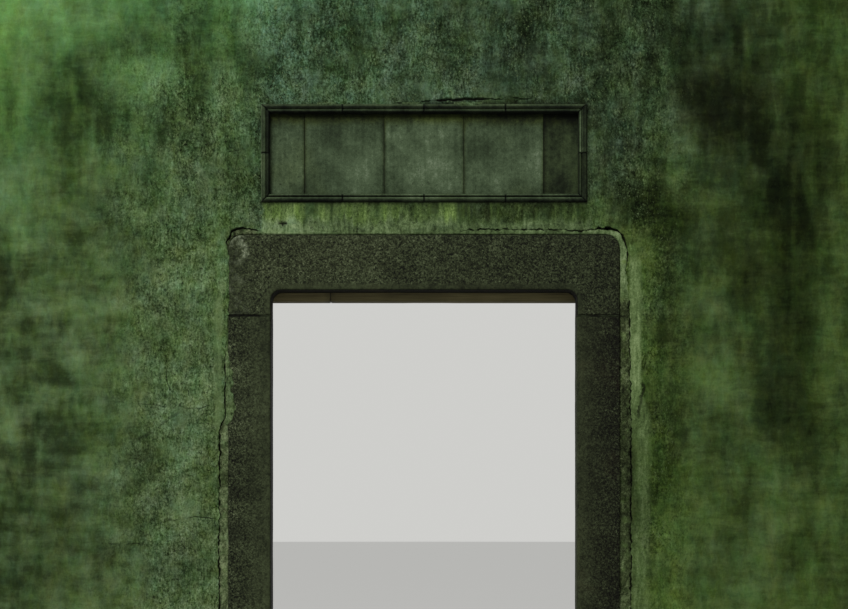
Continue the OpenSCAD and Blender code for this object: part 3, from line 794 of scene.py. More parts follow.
def band_lime(p, band, hanging):
    """How much lime shows on the band under the tablet: drips where it hangs, and a smear under them."""
    drips = graph(p[:, 0], DRIPS) + noises(p, (0.50, (0.014, 1, 0.12), 73), (0.25, (0.03, 1, 0.2), 74))
    smear = 0.72 + 0.3 * noise(p, (0.05, 1, 0.02), 85)
    return hanging * np.clip(1.25 * drips - 0.12, 0.0, 1.0) + (band - hanging) * smear


def pale_strips(x, z, d):
    """1 on the pale strip beside the right jamb, and 1 on the short one beside the left jamb."""
    low = step(2.12, 1.95, z)
    edge = 0.106 + 0.025 * low
    right = step(0.042, 0.055, d) * step(edge + 0.006 + 0.030 * low, edge - 0.004, d)
    right = right * (x > 0) * step(2.80, 2.70, z) * (1 - 0.5 * step(2.0, 1.7, z))
    left = hump(d, 0.028, 0.036, 0.060, 0.075) * (x < 0) * hump(z, 1.85, 1.95, 2.50, 2.62)
    return right, left


def tablet_shadow_and_crack(p):
    """Painted shadow on the plaster under the tablet's frame and to its right, and a dark crack line beside
    its left side.
    """
    x, z = p[:, 0], p[:, 2]
    under = TABLET_LOW - z + 0.006 * noise(p, (0.03, 1, 9), 78)
    # Painted shadow under the frame: darkest at its lower edge and fading downwards over a few centimetres
    eave = np.interp(under, (-0.02, 0.0, 0.006, 0.014, 0.030, 0.060), (0, 0.80, 0.60, 0.30, 0.14, 0.0))
    eave *= step(TABLET_HALF + 0.012, TABLET_HALF - 0.004, np.abs(x))
    beside = np.abs(x) - TABLET_HALF + 0.004 * noise(p, (9, 1, 0.04), 80)
    # Painted shadow beside the frame's right side
    right = np.interp(beside, (0.0, 0.006, 0.014, 0.034), (0.62, 0.42, 0.2, 0))
    # A dark crack line beside the frame's left side
    left = 0.45 * step(0.006, 0.001, np.abs(beside - 0.013))
    level = hump(z, TABLET_LOW - 0.02, TABLET_LOW + 0.01, TABLET_HIGH, TABLET_HIGH + 0.03)
    return np.maximum(eave, level * np.where(x > 0, right, left))


def stone_joint(p, d):
    """The dark line where the plaster meets the stones, which runs on from the bed at the right ear."""
    x, z = p[:, 0], p[:, 2]
    joint = step(0.0045, 0.0, d) * step(-0.6, 0.5, noise(p, (0.05, 1, 0.05), 77) + 0.25)
    joint *= np.where((x < 0) & (z > 2.3), 0.25, 1.0)
    from_bed = np.abs(z - EAR_Z + 0.004 + 0.003 * noise(p, (0.02, 9, 9), 69))
    return np.maximum(joint, 1.5 * step(0.0035, 0.001, from_bed) * step(0.054, 0.048, d) * (x > 0))


def front_fields(p):
    """The fields of the front's plaster, for its material."""
    x, z = p[:, 0], p[:, 2]
    s, d = around(x, z)
    away, wide = crack_line(s)
    inside = step(away + 0.0015, away - 0.0015, d)
    band = under_tablet(p)
    fall = (TABLET_LOW - z) / RING_W + noises(p, (0.18, (0.035, 1, 9), 83), (0.16, (0.012, 1, 9), 84))
    hanging = band * step(0.72, 0.42, fall)
    smear = band - hanging
    beside, joining = pale_strips(x, z, d)
    smooth = inside * smooth_lime(s)
    patch = step(1.2, 0.5, reach(x, z, -1.005, 2.620, 0.028, 0.050) + 0.3 * noise(p, 0.03, 75))
    lime = np.maximum.reduce([
        smooth * step(-0.75, 0.1, noise(p, 0.028, 72) + 0.2), band_lime(p, band, hanging),
        0.9 * beside * step(-1.1, 0.1, noise(p, (0.08, 1, 0.3), 76)), 0.6 * patch, 0.4 * joining])
    mortar = inside * rough_mortar(s) * step(-0.5, 0.3, noise(p, 0.02, 71) + 0.4)
    crack = step(0.95, 0.35, from_crack(d, away, wide)) * step(0.0005, 0.003, wide)
    dirt = 0.95 * crack + 0.6 * stone_joint(p, d) + step(1.1, 0.7, from_chip(p)) + 0.95 * ledge_crack(p)
    near = np.where(x < 0, step(-1.80, -1.22, x), 0.8 * step(1.50, 1.02, x))
    near = near * (1 - 0.65 * step(3.5, 3.95, z) * step(-0.6, -1.1, x))
    pitted = np.clip(0.05 + near * (0.34 + 0.66 * step(-0.6, 0.45, fractal(p, (0.11, 1, 0.15), 3, 79))), 0, 1)
    plain = (1 - np.maximum.reduce([smooth, 0.9 * beside, 0.8 * joining])) * (1 - 0.35 * band)
    from_tablet = np.hypot(np.maximum(np.abs(x) - TABLET_HALF, 0),
                           np.maximum(np.abs(z - (TABLET_LOW + TABLET_HIGH) / 2) - 0.245, 0))
    tone = front_tone(p) - 0.05 * step(0.10, 0.0, from_tablet) * (1 - band) * (z < TABLET_HIGH)
    tone += 0.22 * beside * step(1.9, 2.1, z) + 0.45 * inside * noise(p, (0.012, 1, 0.020), 86)
    tone -= 0.17 * inside * (x > 0) * hump(z, 1.35, 1.50, 2.50, 2.58)
    tone += 0.25 * band * step(-0.60, -0.66, x) - smear * (0.20 - 0.40 * step(-0.56, -0.66, x))
    tone -= hanging * (0.10 - 0.25 * hump(x, 0.06, 0.09, 0.15, 0.18) + 0.10 * step(0.17, 0.21, x))
    red, blue = front_hues(p)
    hair, hair_share = hairlines(p)
    return {
        "tone": tone, "red": red, "blue": blue * (1 - 0.30 * hanging), "lime": lime,
        # dark cracks, joints and the chipped hole, with painted shadow under and beside the tablet's frame
        "mortar": mortar * (1 - 0.7 * lime), "dirt": np.clip(dirt + tablet_shadow_and_crack(p), 0, 1), "hair": hair,
        "hair_share": hair_share, "pitted": pitted * plain,
        "moss": hanging * (0.57 + 0.25 * noise(p, (0.022, 1, 0.25), 82)) + 0.2 * beside,
    }


def back_relief(p):
    """How far the plaster away from the front lies behind its plane, in metres."""
    behind = 0.0022 + 0.0016 * fractal(p, (0.42, 0.42, 0.30), 3, 81)
    behind += noises(p, (0.0005, (0.30, 0.30, 0.022), 84), (0.0004, 0.05, 85))
    return behind + 0.0024 * step(0.62, 0.9, noise(p, (0.06, 0.06, 0.045), 86))


def back_fields(p):
    """The fields of the plaster away from the front."""
    return {
        "tone": back_tone(p), "red": as_light(0.785 + 0.015 * noise(p, 0.5, 89)),
        "blue": as_light(0.60 + 0.04 * noise(p, 0.7, 87)), "lime": 0, "mortar": 0, "dirt": 0,
        "hair": 0.05, "hair_share": 0, "pitted": np.clip(0.5 + 0.5 * noise(p, 0.5, 88), 0.1, 1),
    }


def only_used(faces):
    """Faces with their points numbered afresh, and the old numbers of the points that they use."""
    used, fresh = np.unique(faces, return_inverse=True)
    return fresh.reshape(faces.shape), used


def coat(name, origin, right, us, vs, relief, fields, material, replaced, hole=None, rims=(0.0, 0.0)):
    """A coat of plaster over us and vs, as a closed slab. A hole in it is given by its ends in u and in v,
    and rims says how far the coat's own ends in u are worn round."""
    origin, right, up = (np.array(v, float) for v in (origin, right, (0, 0, 1)))
    out = np.cross(right, up)
    u, v = (a.ravel() for a in np.meshgrid(us, vs, indexing="ij"))
    faces = quads_of(len(us), len(vs))
    p = origin + u[:, None] * right + v[:, None] * up
    behind = relief(p)
    for rim, from_end in zip(rims, (u - us[0], us[-1] - u)):
        behind += rim * (1 - np.sqrt(np.clip(from_end / RIM_W, 0, 1)))
    if hole:
        u0, u1, v0, v1 = hole
        middle_u, middle_v = u[faces].mean(1), v[faces].mean(1)
        inside = (middle_u > u0) & (middle_u < u1) & (middle_v > v0) & (middle_v < v1)
        faces, used = only_used(faces[~inside])
        p, behind = p[used], behind[used]
    obj = make(name, p - behind[:, None] * out, faces)
    close_back(obj, origin, out, PLASTER_T)
    paint(obj, **fields(get_points(obj)))
    return finish_piece(obj, material, replaced)


def ring_sides():
    """Places along the stones' outline, each with the place across from it on the ring's outer edge."""
    span_out = SHOULDER_R + RING_W
    side = span(FOOT_Z, SHOULDER_Z, RING_SIDE_CELL)[:-1]
    share = span(0, 1, RING_CORNER_STEP)[:-1]
    turn = share * math.pi / 2
    top = span(-SHOULDER_X, SHOULDER_X, RING_TOP_CELL)
    half = top[:len(top) // 2 + 1]
    inner = np.concatenate([
        np.stack([np.full_like(side, -STONE_HALF), side], 1),
        np.stack([-SHOULDER_X - SHOULDER_R * np.cos(turn), SHOULDER_Z + SHOULDER_R * np.sin(turn)], 1),
        np.stack([half, np.full_like(half, LINTEL_TOP)], 1)])
    outer = np.concatenate([
        np.stack([np.full_like(side, -STONE_HALF - RING_W), side], 1),
        np.stack([-STONE_HALF - RING_W + span_out * np.maximum(0, 2 * share - 1),
                  SHOULDER_Z + span_out * np.minimum(1, 2 * share)], 1),
        np.stack([half, np.full_like(half, LINTEL_TOP + RING_W)], 1)])
    mirror = slice(-2, None, -1) if len(top) % 2 else slice(-1, None, -1)
    return tuple(np.concatenate([places, places[mirror] * (-1, 1)]) for places in (inner, outer))


def plaster_ring(material):
    """The plaster and mortar next to the stones, with the crack, following the stones' outline."""
    inner, outer = ring_sides()
    s, _ = around(inner[:, 0] * 1.00001, inner[:, 1])
    away, wide = crack_line(s)
    shape = np.maximum(wide, 0.0015)
    lip = away + 0.75 * shape
    rows = [k * (away - 0.7 * shape) for k in (0, 0.12, 0.3, 0.55, 0.8, 1.0)]
    rows += [away + k * shape for k in (-0.45, -0.2, 0.2, 0.45, 0.75)]
    rows += [lip + k * (RING_W - lip)
             for k in (0.03, 0.07, 0.12, 0.18, 0.25, 0.33, 0.42, 0.52, 0.63, 0.75, 0.88, 1)]
    rows = np.stack(rows, 1)
    share = (rows / RING_W)[..., None]
    normal = np.stack([inner[:, 0] - np.clip(inner[:, 0], -SHOULDER_X, SHOULDER_X),
                       np.maximum(inner[:, 1] - SHOULDER_Z, 0)], 1)
    normal /= np.maximum(np.hypot(normal[:, 0], normal[:, 1]), 1e-9)[:, None]
    straight = inner[:, None, :] + rows[..., None] * normal[:, None, :]
    flat = inner[:, None, :] + share * (outer - inner)[:, None, :]
    blend = step(0.35, 0.95, share)
    place = straight * (1 - blend) + flat * blend
    p = at(place[..., 0].ravel(), place[..., 1].ravel(), FRONT)
    p[:, 1] += front_relief(p)
    obj = make("plaster_ring", p, quads_of(len(inner), rows.shape[1])[:, ::-1])
    close_back(obj, (0, FRONT, 0), (0, -1, 0), PLASTER_T)
    paint(obj, **front_fields(get_points(obj)))
    return finish_piece(obj, material, ("mortar_margin",), angle=60)


def lap(name, xs, zs, under, cover, fields, material):
    """Plaster that runs out over a neighbour, whose face lies at under. It stands cover(p) over that
    face, and there is none where cover(p) is below zero."""
    x, z = (a.ravel() for a in np.meshgrid(xs, zs, indexing="ij"))
    p = at(x, z)
    thick = cover(p)
    faces = quads_of(len(xs), len(zs))
    faces, used = only_used(faces[(thick[faces] > 0).any(1)])
    p, thick = p[used], thick[used]
    p[:, 1] = under(p) - np.maximum(thick, -LAP_EDGE)
    obj = make(name, p, faces)
    close_back(obj, (0, p[:, 1].max(), 0), (0, -1, 0), 0.004)
    points = get_points(obj)
    paint(obj, **{**front_fields(points), **fields(points)})
    return finish_piece(obj, material, angle=70)


# How far plaster laps over the left jamb's face, in millimetres, at places in Z
JAMB_LAP = ((1.925, -5), (1.95, 26), (2.00, 36), (2.08, 27), (2.17, 24), (2.24, 14), (2.30, -6))


def stone_laps(material):
    """Plaster lapping over the edges of the left jamb and of the lintel's left ear."""
    def stone_face(p):
        return STONE_FRONT + 0.0022 + 0.010 * step(0.004, -0.006, p[:, 0] + STONE_HALF)

    def beside_jamb(p):
        wide = graph(p[:, 2], JAMB_LAP) / 1000 + noises(p, (0.009, 0.03, 201), (0.004, 0.01, 202))
        shown = step(0.0, 0.008, wide - (p[:, 0] + STONE_HALF))
        return 0.0045 * shown - 0.0012 + 0.0006 * noise(p, 0.012, 203)

    def beside_ear(p):
        wide = 0.0035 + noises(p, (0.005, 0.024, 207), (0.003, 0.010, 208))
        return 0.0040 * step(0.0, 0.005, wide - (p[:, 0] + STONE_HALF)) - 0.0012

    lap("lap_jamb_left", span(-STONE_HALF - 0.012, -STONE_HALF + 0.06, 0.003), span(1.90, 2.32, 0.003),
        stone_face, beside_jamb,
        lambda p: {"lime": 0.45 + 0.3 * noise(p, 0.03, 204), "dirt": 0, "mortar": 0, "pitted": 0.8}, material)
    lap("lap_ear_left", span(-STONE_HALF - 0.008, -STONE_HALF + 0.013, 0.003), span(EAR_Z, 2.800, 0.0045),
        stone_face, beside_ear, lambda p: {"lime": 0, "dirt": 0.12}, material)


# Plaster hanging over the top of the tablet's frame: where it starts and ends in X and how far it hangs
FRAME_LAPS = ((-0.535, -0.440, 0.010), (0.150, 0.290, 0.013), (-0.11, -0.02, 0.006))


def frame_laps(material):
    """Plaster lapping over the top of the tablet's frame."""
    def reed(p):
        return CREST + 0.0045 + 0.010 * step(TABLET_HIGH - 0.003, TABLET_HIGH + 0.008, p[:, 2])

    for k, (x0, x1, drop) in enumerate(FRAME_LAPS):
        def over_reed(p):
            inward = np.minimum(p[:, 0] - x0, x1 - p[:, 0])
            hang = drop * step(0.0, 0.03, inward) + 0.004 * noise(p, (0.02, 1, 1), 205 + k)
            shown = step(-0.002, 0.004, p[:, 2] - (TABLET_HIGH - hang)) * step(-0.004, 0.006, inward)
            return 0.005 * shown - LAP_EDGE + 0.0006 * noise(p, 0.012, 206)

        lap("lap_frame_%d" % (k + 1), span(x0 - 0.01, x1 + 0.01, 0.003),
            span(TABLET_HIGH - 0.022, TABLET_HIGH + 0.010, 0.0025), reed, over_reed,
            lambda p: {"lime": 0.35, "dirt": 0, "mortar": 0}, material)


def front_plaster(material):
    """The front's coat: beside the gateway, over it round the tablet, and the ring at the stones."""
    side = STONE_HALF + RING_W
    shared = {"relief": front_relief, "fields": front_fields, "material": material,
              "replaced": ("plaster_front",)}
    origin, right = (0, FRONT, 0), (1, 0, 0)
    us = span(-WALL_HALF, -side, 0.0115)
    vs = joined(span(FOOT_Z, TABLET_LOW, 0.0122), span(TABLET_LOW, EAVES_Z, 0.0122))
    coat("plaster_front_left", origin, right, us, vs, rims=(RIM_DEPTH, 0), **shared)
    coat("plaster_front_right", origin, right, -us[::-1], vs, rims=(0, RIM_DEPTH), **shared)
    wing = span(-side, -TABLET_HALF, 0.0095)
    us = joined(wing, span(-TABLET_HALF, TABLET_HALF, 0.0085), -wing[::-1])
    fine_top = TABLET_HIGH + 0.040
    vs = joined(span(TABLET_LOW, TABLET_HIGH, 0.0095), span(TABLET_HIGH, fine_top, 0.0025),
                span(fine_top, EAVES_Z, 0.0105))
    hole = (-TABLET_HALF, TABLET_HALF, TABLET_LOW - 1, TABLET_HIGH)
    coat("plaster_over", origin, right, us, vs, hole=hole, **shared)
    plaster_ring(material)
    stone_laps(material)
    frame_laps(material)


def other_plaster(material):
    """The coats of the back, the ends and the rear reveals."""
    shared = {"relief": back_relief, "fields": back_fields, "material": material}
    door = REVEAL_HALF + PLASTER_T
    us = joined(*(span(a, b, 0.028) for a, b in ((-WALL_HALF, -door), (-door, door), (door, WALL_HALF))))
    vs = joined(span(FOOT_Z, REAR_SOFFIT, 0.028), span(REAR_SOFFIT, EAVES_Z, 0.028))
    coat("plaster_back", (0, -FRONT, 0), (-1, 0, 0), us, vs, replaced=("plaster_back",),
         hole=(-door, door, -1, REAR_SOFFIT), rims=(RIM_DEPTH, RIM_DEPTH), **shared)
    across = span(CORE, -CORE, 0.02)
    depth = span(STONE_BACK, -FRONT, 0.014)
    rise = span(FOOT_Z, REAR_SOFFIT, 0.014)
    for side, name in ((-1, "left"), (1, "right")):
        coat("plaster_end_" + name, (side * WALL_HALF, 0, 0), (0, side, 0), across, vs,
             replaced=("plaster_end_" + name,), **shared)
        coat("plaster_reveal_" + name, (side * REVEAL_HALF, 0, 0), (0, -side, 0),
             depth if side < 0 else -depth[::-1], rise, replaced=("plaster_reveal_" + name,), **shared)


def grid_box(xs, ys, zs):
    """The closed surface of a box with lines at xs, ys and zs, as points and quads."""
    counts = [len(a) for a in (xs, ys, zs)]
    shown = np.zeros(counts, bool)
    shown[[0, -1]] = True
    shown[:, [0, -1]] = True
    shown[:, :, [0, -1]] = True
    number = np.zeros(counts, int)
    number[shown] = np.arange(shown.sum())
    i, j, k = np.nonzero(shown)
    faces = []
    for axis in range(3):
        for end in (0, counts[axis] - 1):
            sheet = np.take(number, end, axis)
            corners = (sheet[:-1, :-1], sheet[1:, :-1], sheet[1:, 1:], sheet[:-1, 1:])
            quads = np.stack(corners, -1).reshape(-1, 4)
            faces.append(quads if (end > 0) != (axis == 1) else quads[:, ::-1])
    return np.stack([xs[i], ys[j], zs[k]], 1), np.concatenate(faces)


def edged(low, high, cell, r):
    """Lines from low to high about cell apart, with more of them where the edges are rounded."""
    return joined(span(low, low + r, r / 2), span(low + r, high - r, cell), span(high - r, high, r / 2))


def block(low, high, cell, r, wear=None):
    """A block with edges rounded to r and its faces worn back, as points and quads."""
    low, high = np.array(low, float), np.array(high, float)
    points, faces = grid_box(*(edged(a, b, c, r) for a, b, c in zip(low, high, np.broadcast_to(cell, 3))))
    core = np.clip(points, low + r, high - r)
    out = points - core
    out /= np.linalg.norm(out, axis=1, keepdims=True)
    points = core + out * r
    if wear is not None:
        points = points - out * wear(points)[:, None]
    return points, faces


def part(low, high, cell, r, wear=None, **fields):
    """A block and its fields, for gather(). A field is a value or a function of the block's points."""
    points, faces = block(low, high, cell, r, wear)
    return points, faces, {name: v(points) if callable(v) else v for name, v in fields.items()}


def chance(rng, low, high):
    """A random tone for a brick or tile, and a number of its own."""
    return {"tone": rng.uniform(low, high), "own": rng.uniform(0, 9)}


def apart(low, high, middle, gap):
    """The two stretches from low to high that a joint of that width leaves, with the joint at middle."""
    return (low, middle - gap / 2), (middle + gap / 2, high)


def gather(name, parts, material, replaced=(), angle=45):
    """One piece from several parts, each given as points, quads and the fields of its points."""
    start, fields = 0, {}
    faces = []
    for points, quads, values in parts:
        faces.append(quads + start)
        start += len(points)
        for key, value in values.items():
            fields.setdefault(key, []).append(np.broadcast_to(value, len(points)))
    obj = make(name, np.concatenate([p[0] for p in parts]), np.concatenate(faces))
    paint(obj, **{key: np.concatenate(values) for key, values in fields.items()})
    return finish_piece(obj, material, replaced, angle)


def close_holes(obj):
    """Fills the open ends of a mesh with triangles."""
    bm = bmesh.new()
    bm.from_mesh(obj.data)
    filled = bmesh.ops.holes_fill(bm, edges=[e for e in bm.edges if e.is_boundary], sides=0)["faces"]
    bmesh.ops.triangulate(bm, faces=filled)
    bmesh.ops.recalc_face_normals(bm, faces=bm.faces)
    bm.to_mesh(obj.data)
    bm.free()


def worn(size, cell, seed, depth=0.0006):
    """How deep a worn face lies, for block(): waves of a size, with finer ones of a cell."""
    return lambda p: depth * (1.6 + fractal(p, size, 2, seed)) + 0.6 * depth * (1 + noise(p, cell, seed + 5))


def from_opening(x, z):
    """Distance from the edge of the opening, over the front of the stones."""
    return outline_distance(x, z, OPENING_HALF, SOFFIT_Z, HEAD_R)


def stone_relief(p, smooth):
    """How deep the pecked face of a stone lies, in metres."""
    bite = 1 - 0.8 * smooth
    pecks = 0.0010 * noise(p, 0.014, 101) + 0.0008 * noise(p, 0.0085, 102)
    chips = 0.0035 * step(0.55, 0.95, noise(p, 0.045, 105))
    edge = step(0.010, 0.0, -around(p[:, 0], p[:, 2])[1]) * (p[:, 1] < FRONT + 0.02)
    return 0.0016 + 0.0013 * fractal(p, 0.13, 2, 103) + bite * pecks + edge * (chips + 0.0012)


# A pale trail of lime down the lintel's left ear, in X and Z
LIME_TRAIL = [(-0.972, 2.846), (-0.958, 2.857), (-0.931, 2.875), (-0.910, 2.861), (-0.917, 2.833),
              (-0.896, 2.812), (-0.889, 2.777), (-0.917, 2.762)]


def beside_trail(x, z, trail):
    """Distance of points from a line through the trail's places."""
    best = np.full(len(x), 9.0)
    for (ax, az), (bx, bz) in zip(trail, trail[1:]):
        along = ((x - ax) * (bx - ax) + (z - az) * (bz - az)) / ((bx - ax) ** 2 + (bz - az) ** 2)
        along = np.clip(along, 0, 1)
        best = np.minimum(best, np.hypot(x - ax - along * (bx - ax), z - az - along * (bz - az)))
    return best


def stone_fields(p):
    """The fields of the stones round the opening."""
    x, z = p[:, 0], p[:, 2]
    inside = -around(x, z)[1]
    opening = from_opening(x, z)
    lintel = z > EAR_Z - BED_T / 2
    shaded_side = lintel | (x < 0)
    right_jamb = (x > 0) * ~lintel
    left_end = lintel * step(-0.84, -0.93, x + 0.02 * noise(p, 0.05, 112))
    smooth = np.maximum(step(0.036, 0.028, opening + 0.004 * noise(p, 0.03, 111)), 0.6 * left_end)
    shade = np.where(lintel, 0.12 - 0.12 * x - 0.16 * step(-0.70, -0.92, x), np.where(x < 0, 0.16, -0.12))
    # Random tone; and the smooth band at the opening, with its arris and reveal, has painted light on the
    # right jamb, which faces the light, and painted shade on the lintel and the left jamb
    shade += 0.16 * fractal(p, (0.30, 0.3, 0.36), 3, 113) + 0.10 * smooth * (right_jamb * 1.0 - shaded_side)
    shade -= 0.10 * lintel * step(0.62, 0.95, x) * step(2.75, 2.5, z)
    shade -= 0.20 * step(0.115, 0.055, inside) * right_jamb
    # Painted shade on the arris, soffit and reveal behind the stones' front, on the lintel and the left jamb
    deep = step(0.003, 0.012, p[:, 1] - STONE_FRONT) * (opening < 0.06)
    shade -= 0.85 * deep * shaded_side
    trail = step(0.022, 0.004, beside_trail(x, z, LIME_TRAIL) + 0.007 * noise(p, 0.013, 114))
    lime = np.maximum(trail * step(-0.6, 0.1, noise(p, 0.011, 115)),
                      0.25 * left_end * step(0.1, 0.6, noise(p, 0.02, 116)))
    brown = step(0.2, 0.9, fractal(p, 0.35, 2, 118) + 0.4) * step(-0.95, -0.70, x)
    brown = np.maximum(np.where(lintel, brown, step(0.0, 0.7, x) * 0.8), 0.9 * deep * lintel)
    coarse = np.where(x < 0, 0.35, 0.40) * ~lintel
    joint = step(0.005, 0.0, np.abs(z - EAR_Z + BED_T / 2) - BED_T / 2 + 0.003 * noise(p, 0.02, 119))
    edge = step(0.012, 0.0, inside) * step(-0.4, 0.6, noise(p, 0.04, 117))
    dirt = np.clip(0.55 * edge + 0.8 * joint * step(0.80, 0.86, np.abs(x)), 0, 0.9)
    smooth = smooth - coarse * (1 - smooth)
    return {"tone": shade, "smooth": smooth, "brown": brown, "lime": lime, "dirt": dirt}


def peck(obj, material, replaced):
    """Wears and pecks a stone's faces and gives it its looks."""
    points = get_points(obj)
    fields = stone_fields(points)
    normals = normals_of(obj)
    set_points(obj, points - normals * stone_relief(points, np.maximum(fields["smooth"], 0))[:, None])
    paint(obj, **fields)
    return finish_piece(obj, material, replaced, angle=70)


def jamb(name, side, material):
    """A jamb, its section carried up from the sill to the lintel's ear."""
    turn = np.linspace(0, math.pi / 2, 7)
    inner = OPENING_HALF + ARRIS
    fine_back = STONE_FRONT + 0.009
    stretches = [
        (STONE_HALF, span(STONE_BACK, fine_back + 0.003, 0.04)),
        (STONE_HALF, span(fine_back, STONE_FRONT, 0.0045)),
        (span(STONE_HALF, inner, JAMB_CELL), STONE_FRONT),
        (inner - ARRIS * np.sin(turn), STONE_FRONT + ARRIS * (1 - np.cos(turn))),
        (OPENING_HALF, span(STONE_FRONT + ARRIS, LIP_BACK, 0.007)),
        (span(OPENING_HALF, REVEAL_HALF, 0.011), LIP_BACK),
        (REVEAL_HALF, span(LIP_BACK, STONE_BACK, 0.014)),
        (span(REVEAL_HALF, STONE_HALF, 0.04), STONE_BACK),
    ]
    loop = np.concatenate([np.stack(np.broadcast_arrays(x, y), 1)[:-1] for x, y in stretches])
    low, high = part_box("jamb_right")
    rows = edged(low.z, high.z, JAMB_CELL, 0.004)
    points = at(side * np.tile(loop[:, 0], len(rows)), np.repeat(rows, len(loop)))
    points[:, 1] = np.tile(loop[:, 1], len(rows))
    obj = make(name + "_pecked", points, tube_quads(len(loop), len(rows)))
    close_holes(obj)
    return peck(obj, material, (name,))


def even_copy(node, name, cell):
    """A copy of a CAD node in small faces of even size."""
    obj = bpy.data.objects.new(name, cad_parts[node].data.copy())
    bpy.context.scene.collection.objects.link(obj)
    bm = bmesh.new()
    bm.from_mesh(obj.data)
    bmesh.ops.remove_doubles(bm, verts=bm.verts, dist=1e-5)
    bm.to_mesh(obj.data)
    bm.free()
    remesh = obj.modifiers.new("even", "REMESH")
    remesh.mode = "VOXEL"
    remesh.voxel_size = cell
    even = bpy.data.meshes.new_from_object(obj.evaluated_get(bpy.context.evaluated_depsgraph_get()))
    obj.modifiers.clear()
    obj.data = even
    obj.data.materials.clear()
    return obj


def sill(material):
    """The sill stone, worn down where people step."""
    low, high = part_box("sill_stone")
    face = worn(0.25, 0.02, 121, 0.0012)

    def tread(p):
        return face(p) + 0.006 * step(0.7, 0.1, np.abs(p[:, 0])) * step(high.z - 0.01, high.z, p[:, 2])

    stone = part(low, high, 0.0195, 0.009, tread, smooth=0.4, brown=0.3, lime=0.0,
                 tone=lambda p: 0.12 + 0.2 * fractal(p, 0.4, 3, 122),
                 dirt=lambda p: 0.5 * step(0.05, 0.0, p[:, 2]))
    gather("sill_worn", [stone], material, ("sill_stone",))


def base_course(material):
    """The granite base course, in two blocks a side."""
    for name in ("base_left", "base_right"):
        low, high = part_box(name)
        blocks = [
            part((x0, low.y, 0), (x1, high.y, high.z), 0.020, 0.008, worn(0.2, 0.022, 130 + k, 0.0012),
                 tone=lambda p: 0.05 + 0.1 * k + 0.2 * fractal(p, 0.4, 3, 124 + k), smooth=0.0, brown=0.4,
                 lime=0.0, dirt=lambda p: 0.6 * step(0.06, 0.0, p[:, 2] + 0.01 * noise(p, 0.05, 129)))
            for k, (x0, x1) in enumerate(apart(low.x, high.x, (low.x + high.x) / 2, BASE_JOINT))]
        gather(name + "_blocks", blocks, material, (name,))


def bed_mortar(material):
    """The beds under and over the jambs, and the mortar in the joints of the base course."""
    def wear(p):
        return 0.0008 + 0.0018 * (1 + noise(p, 0.016, 126)) * (p[:, 1] < FRONT)

    def dirt(p):
        return 0.68 + 0.30 * (step(-0.8, 0.1, noise(p, 0.05, 128)) - 0.5 * step(0.86, 0.79, np.abs(p[:, 0])))

    beds = []
    base_low, base_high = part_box("base_right")
    joint = (base_low.x + base_high.x) / 2
    for side in (-1, 1):
        for z0, z1 in ((FOOT_Z, FOOT_Z + BED_T), (EAR_Z - BED_T, EAR_Z)):
            x0, x1 = sorted((side * (OPENING_HALF + 0.0005), side * STONE_HALF))
            beds.append(part((x0, FRONT - 0.004, z0 - BED_REACH), (x1, LIP_BACK, z1 + BED_REACH),
                             (0.006, 0.03, 0.005), 0.0015, wear, dirt=dirt))
            x0, x1 = sorted((side * REVEAL_HALF, side * STONE_HALF))
            beds.append(part((x0, LIP_BACK, z0), (x1, STONE_BACK, z1), (0.02, 0.02, 0.004), 0.0015, dirt=0.5))
        x0, x1 = sorted((side * (joint - 0.010), side * (joint + 0.010)))
        beds.append(part((x0, base_low.y + 0.012, 0.002), (x1, base_high.y - 0.012, base_high.z - 0.006),
                         0.4, 0.002, dirt=0.8))
    gather("bed_mortar", beds, material, ("bed_joints",))


def stones(granite, mortar):
    """The jambs, the lintel, the sill, the base course and the beds between the stones."""
    jamb("jamb_left", -1, granite)
    jamb("jamb_right", 1, granite)
    peck(even_copy("lintel_stone", "lintel_pecked", LINTEL_CELL), granite, ("lintel_stone",))
    sill(granite)
    base_course(granite)
    bed_mortar(mortar)


def sawn_grain(p):
    """How deep the faces of a timber lie, with open grain along X."""
    cracks = step(0.55, 0.8, noise(p, (0.35, 0.01, 0.01), 142))
    return 0.0005 * (1.5 + noise(p, (0.4, 0.006, 0.006), 141)) + 0.0008 * cracks


def timber_pieces(material):
    """The board behind the lintel's lip and the beams over the rear reveal."""
    low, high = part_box("head_board")

    def seam_and_underside_shade(p):
        seam = 0.5 * step(0.008, 0.0, np.abs(p[:, 0] - BOARD_SEAM))
        # Dark seam between the boards, and painted shade along the board's bottom edge and underside
        return seam + 0.4 * step(low.z + 0.006, low.z, p[:, 2])

    boards = [
        part((x0, low.y, low.z), (x1, high.y, high.z), (0.03, 0.006, 0.006), 0.002, sawn_grain,
             tone=lambda p: 0.02 - 0.06 * k + 0.12 * noise(p, (0.3, 0.1, 0.1), 143), dirt=seam_and_underside_shade)
        for k, (x0, x1) in enumerate(apart(low.x, high.x, BOARD_SEAM, 0.0016))]
    gather("head_board_sawn", boards, material, ("head_board",))
    for i in (1, 2, 3):
        node = "lintel_beam_%d" % i
        beam = part(*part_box(node), (0.045, 0.012, 0.012), 0.004, sawn_grain, dirt=0.0,
                    tone=lambda p: -0.05 + 0.1 * noise(p + 3 * i, (0.5, 0.1, 0.1), 144))
        gather("beam_%d_hewn" % i, [beam], material, (node,))


# Middle tone of each panel of the tablet, from left to right, the narrow last one dark with painted shadow,
# and which one is rubbed paler at its edge
PANEL_TONES = (0.10, 0.10, 0.24, 0.16, -0.34)
RUBBED_PANEL = 3


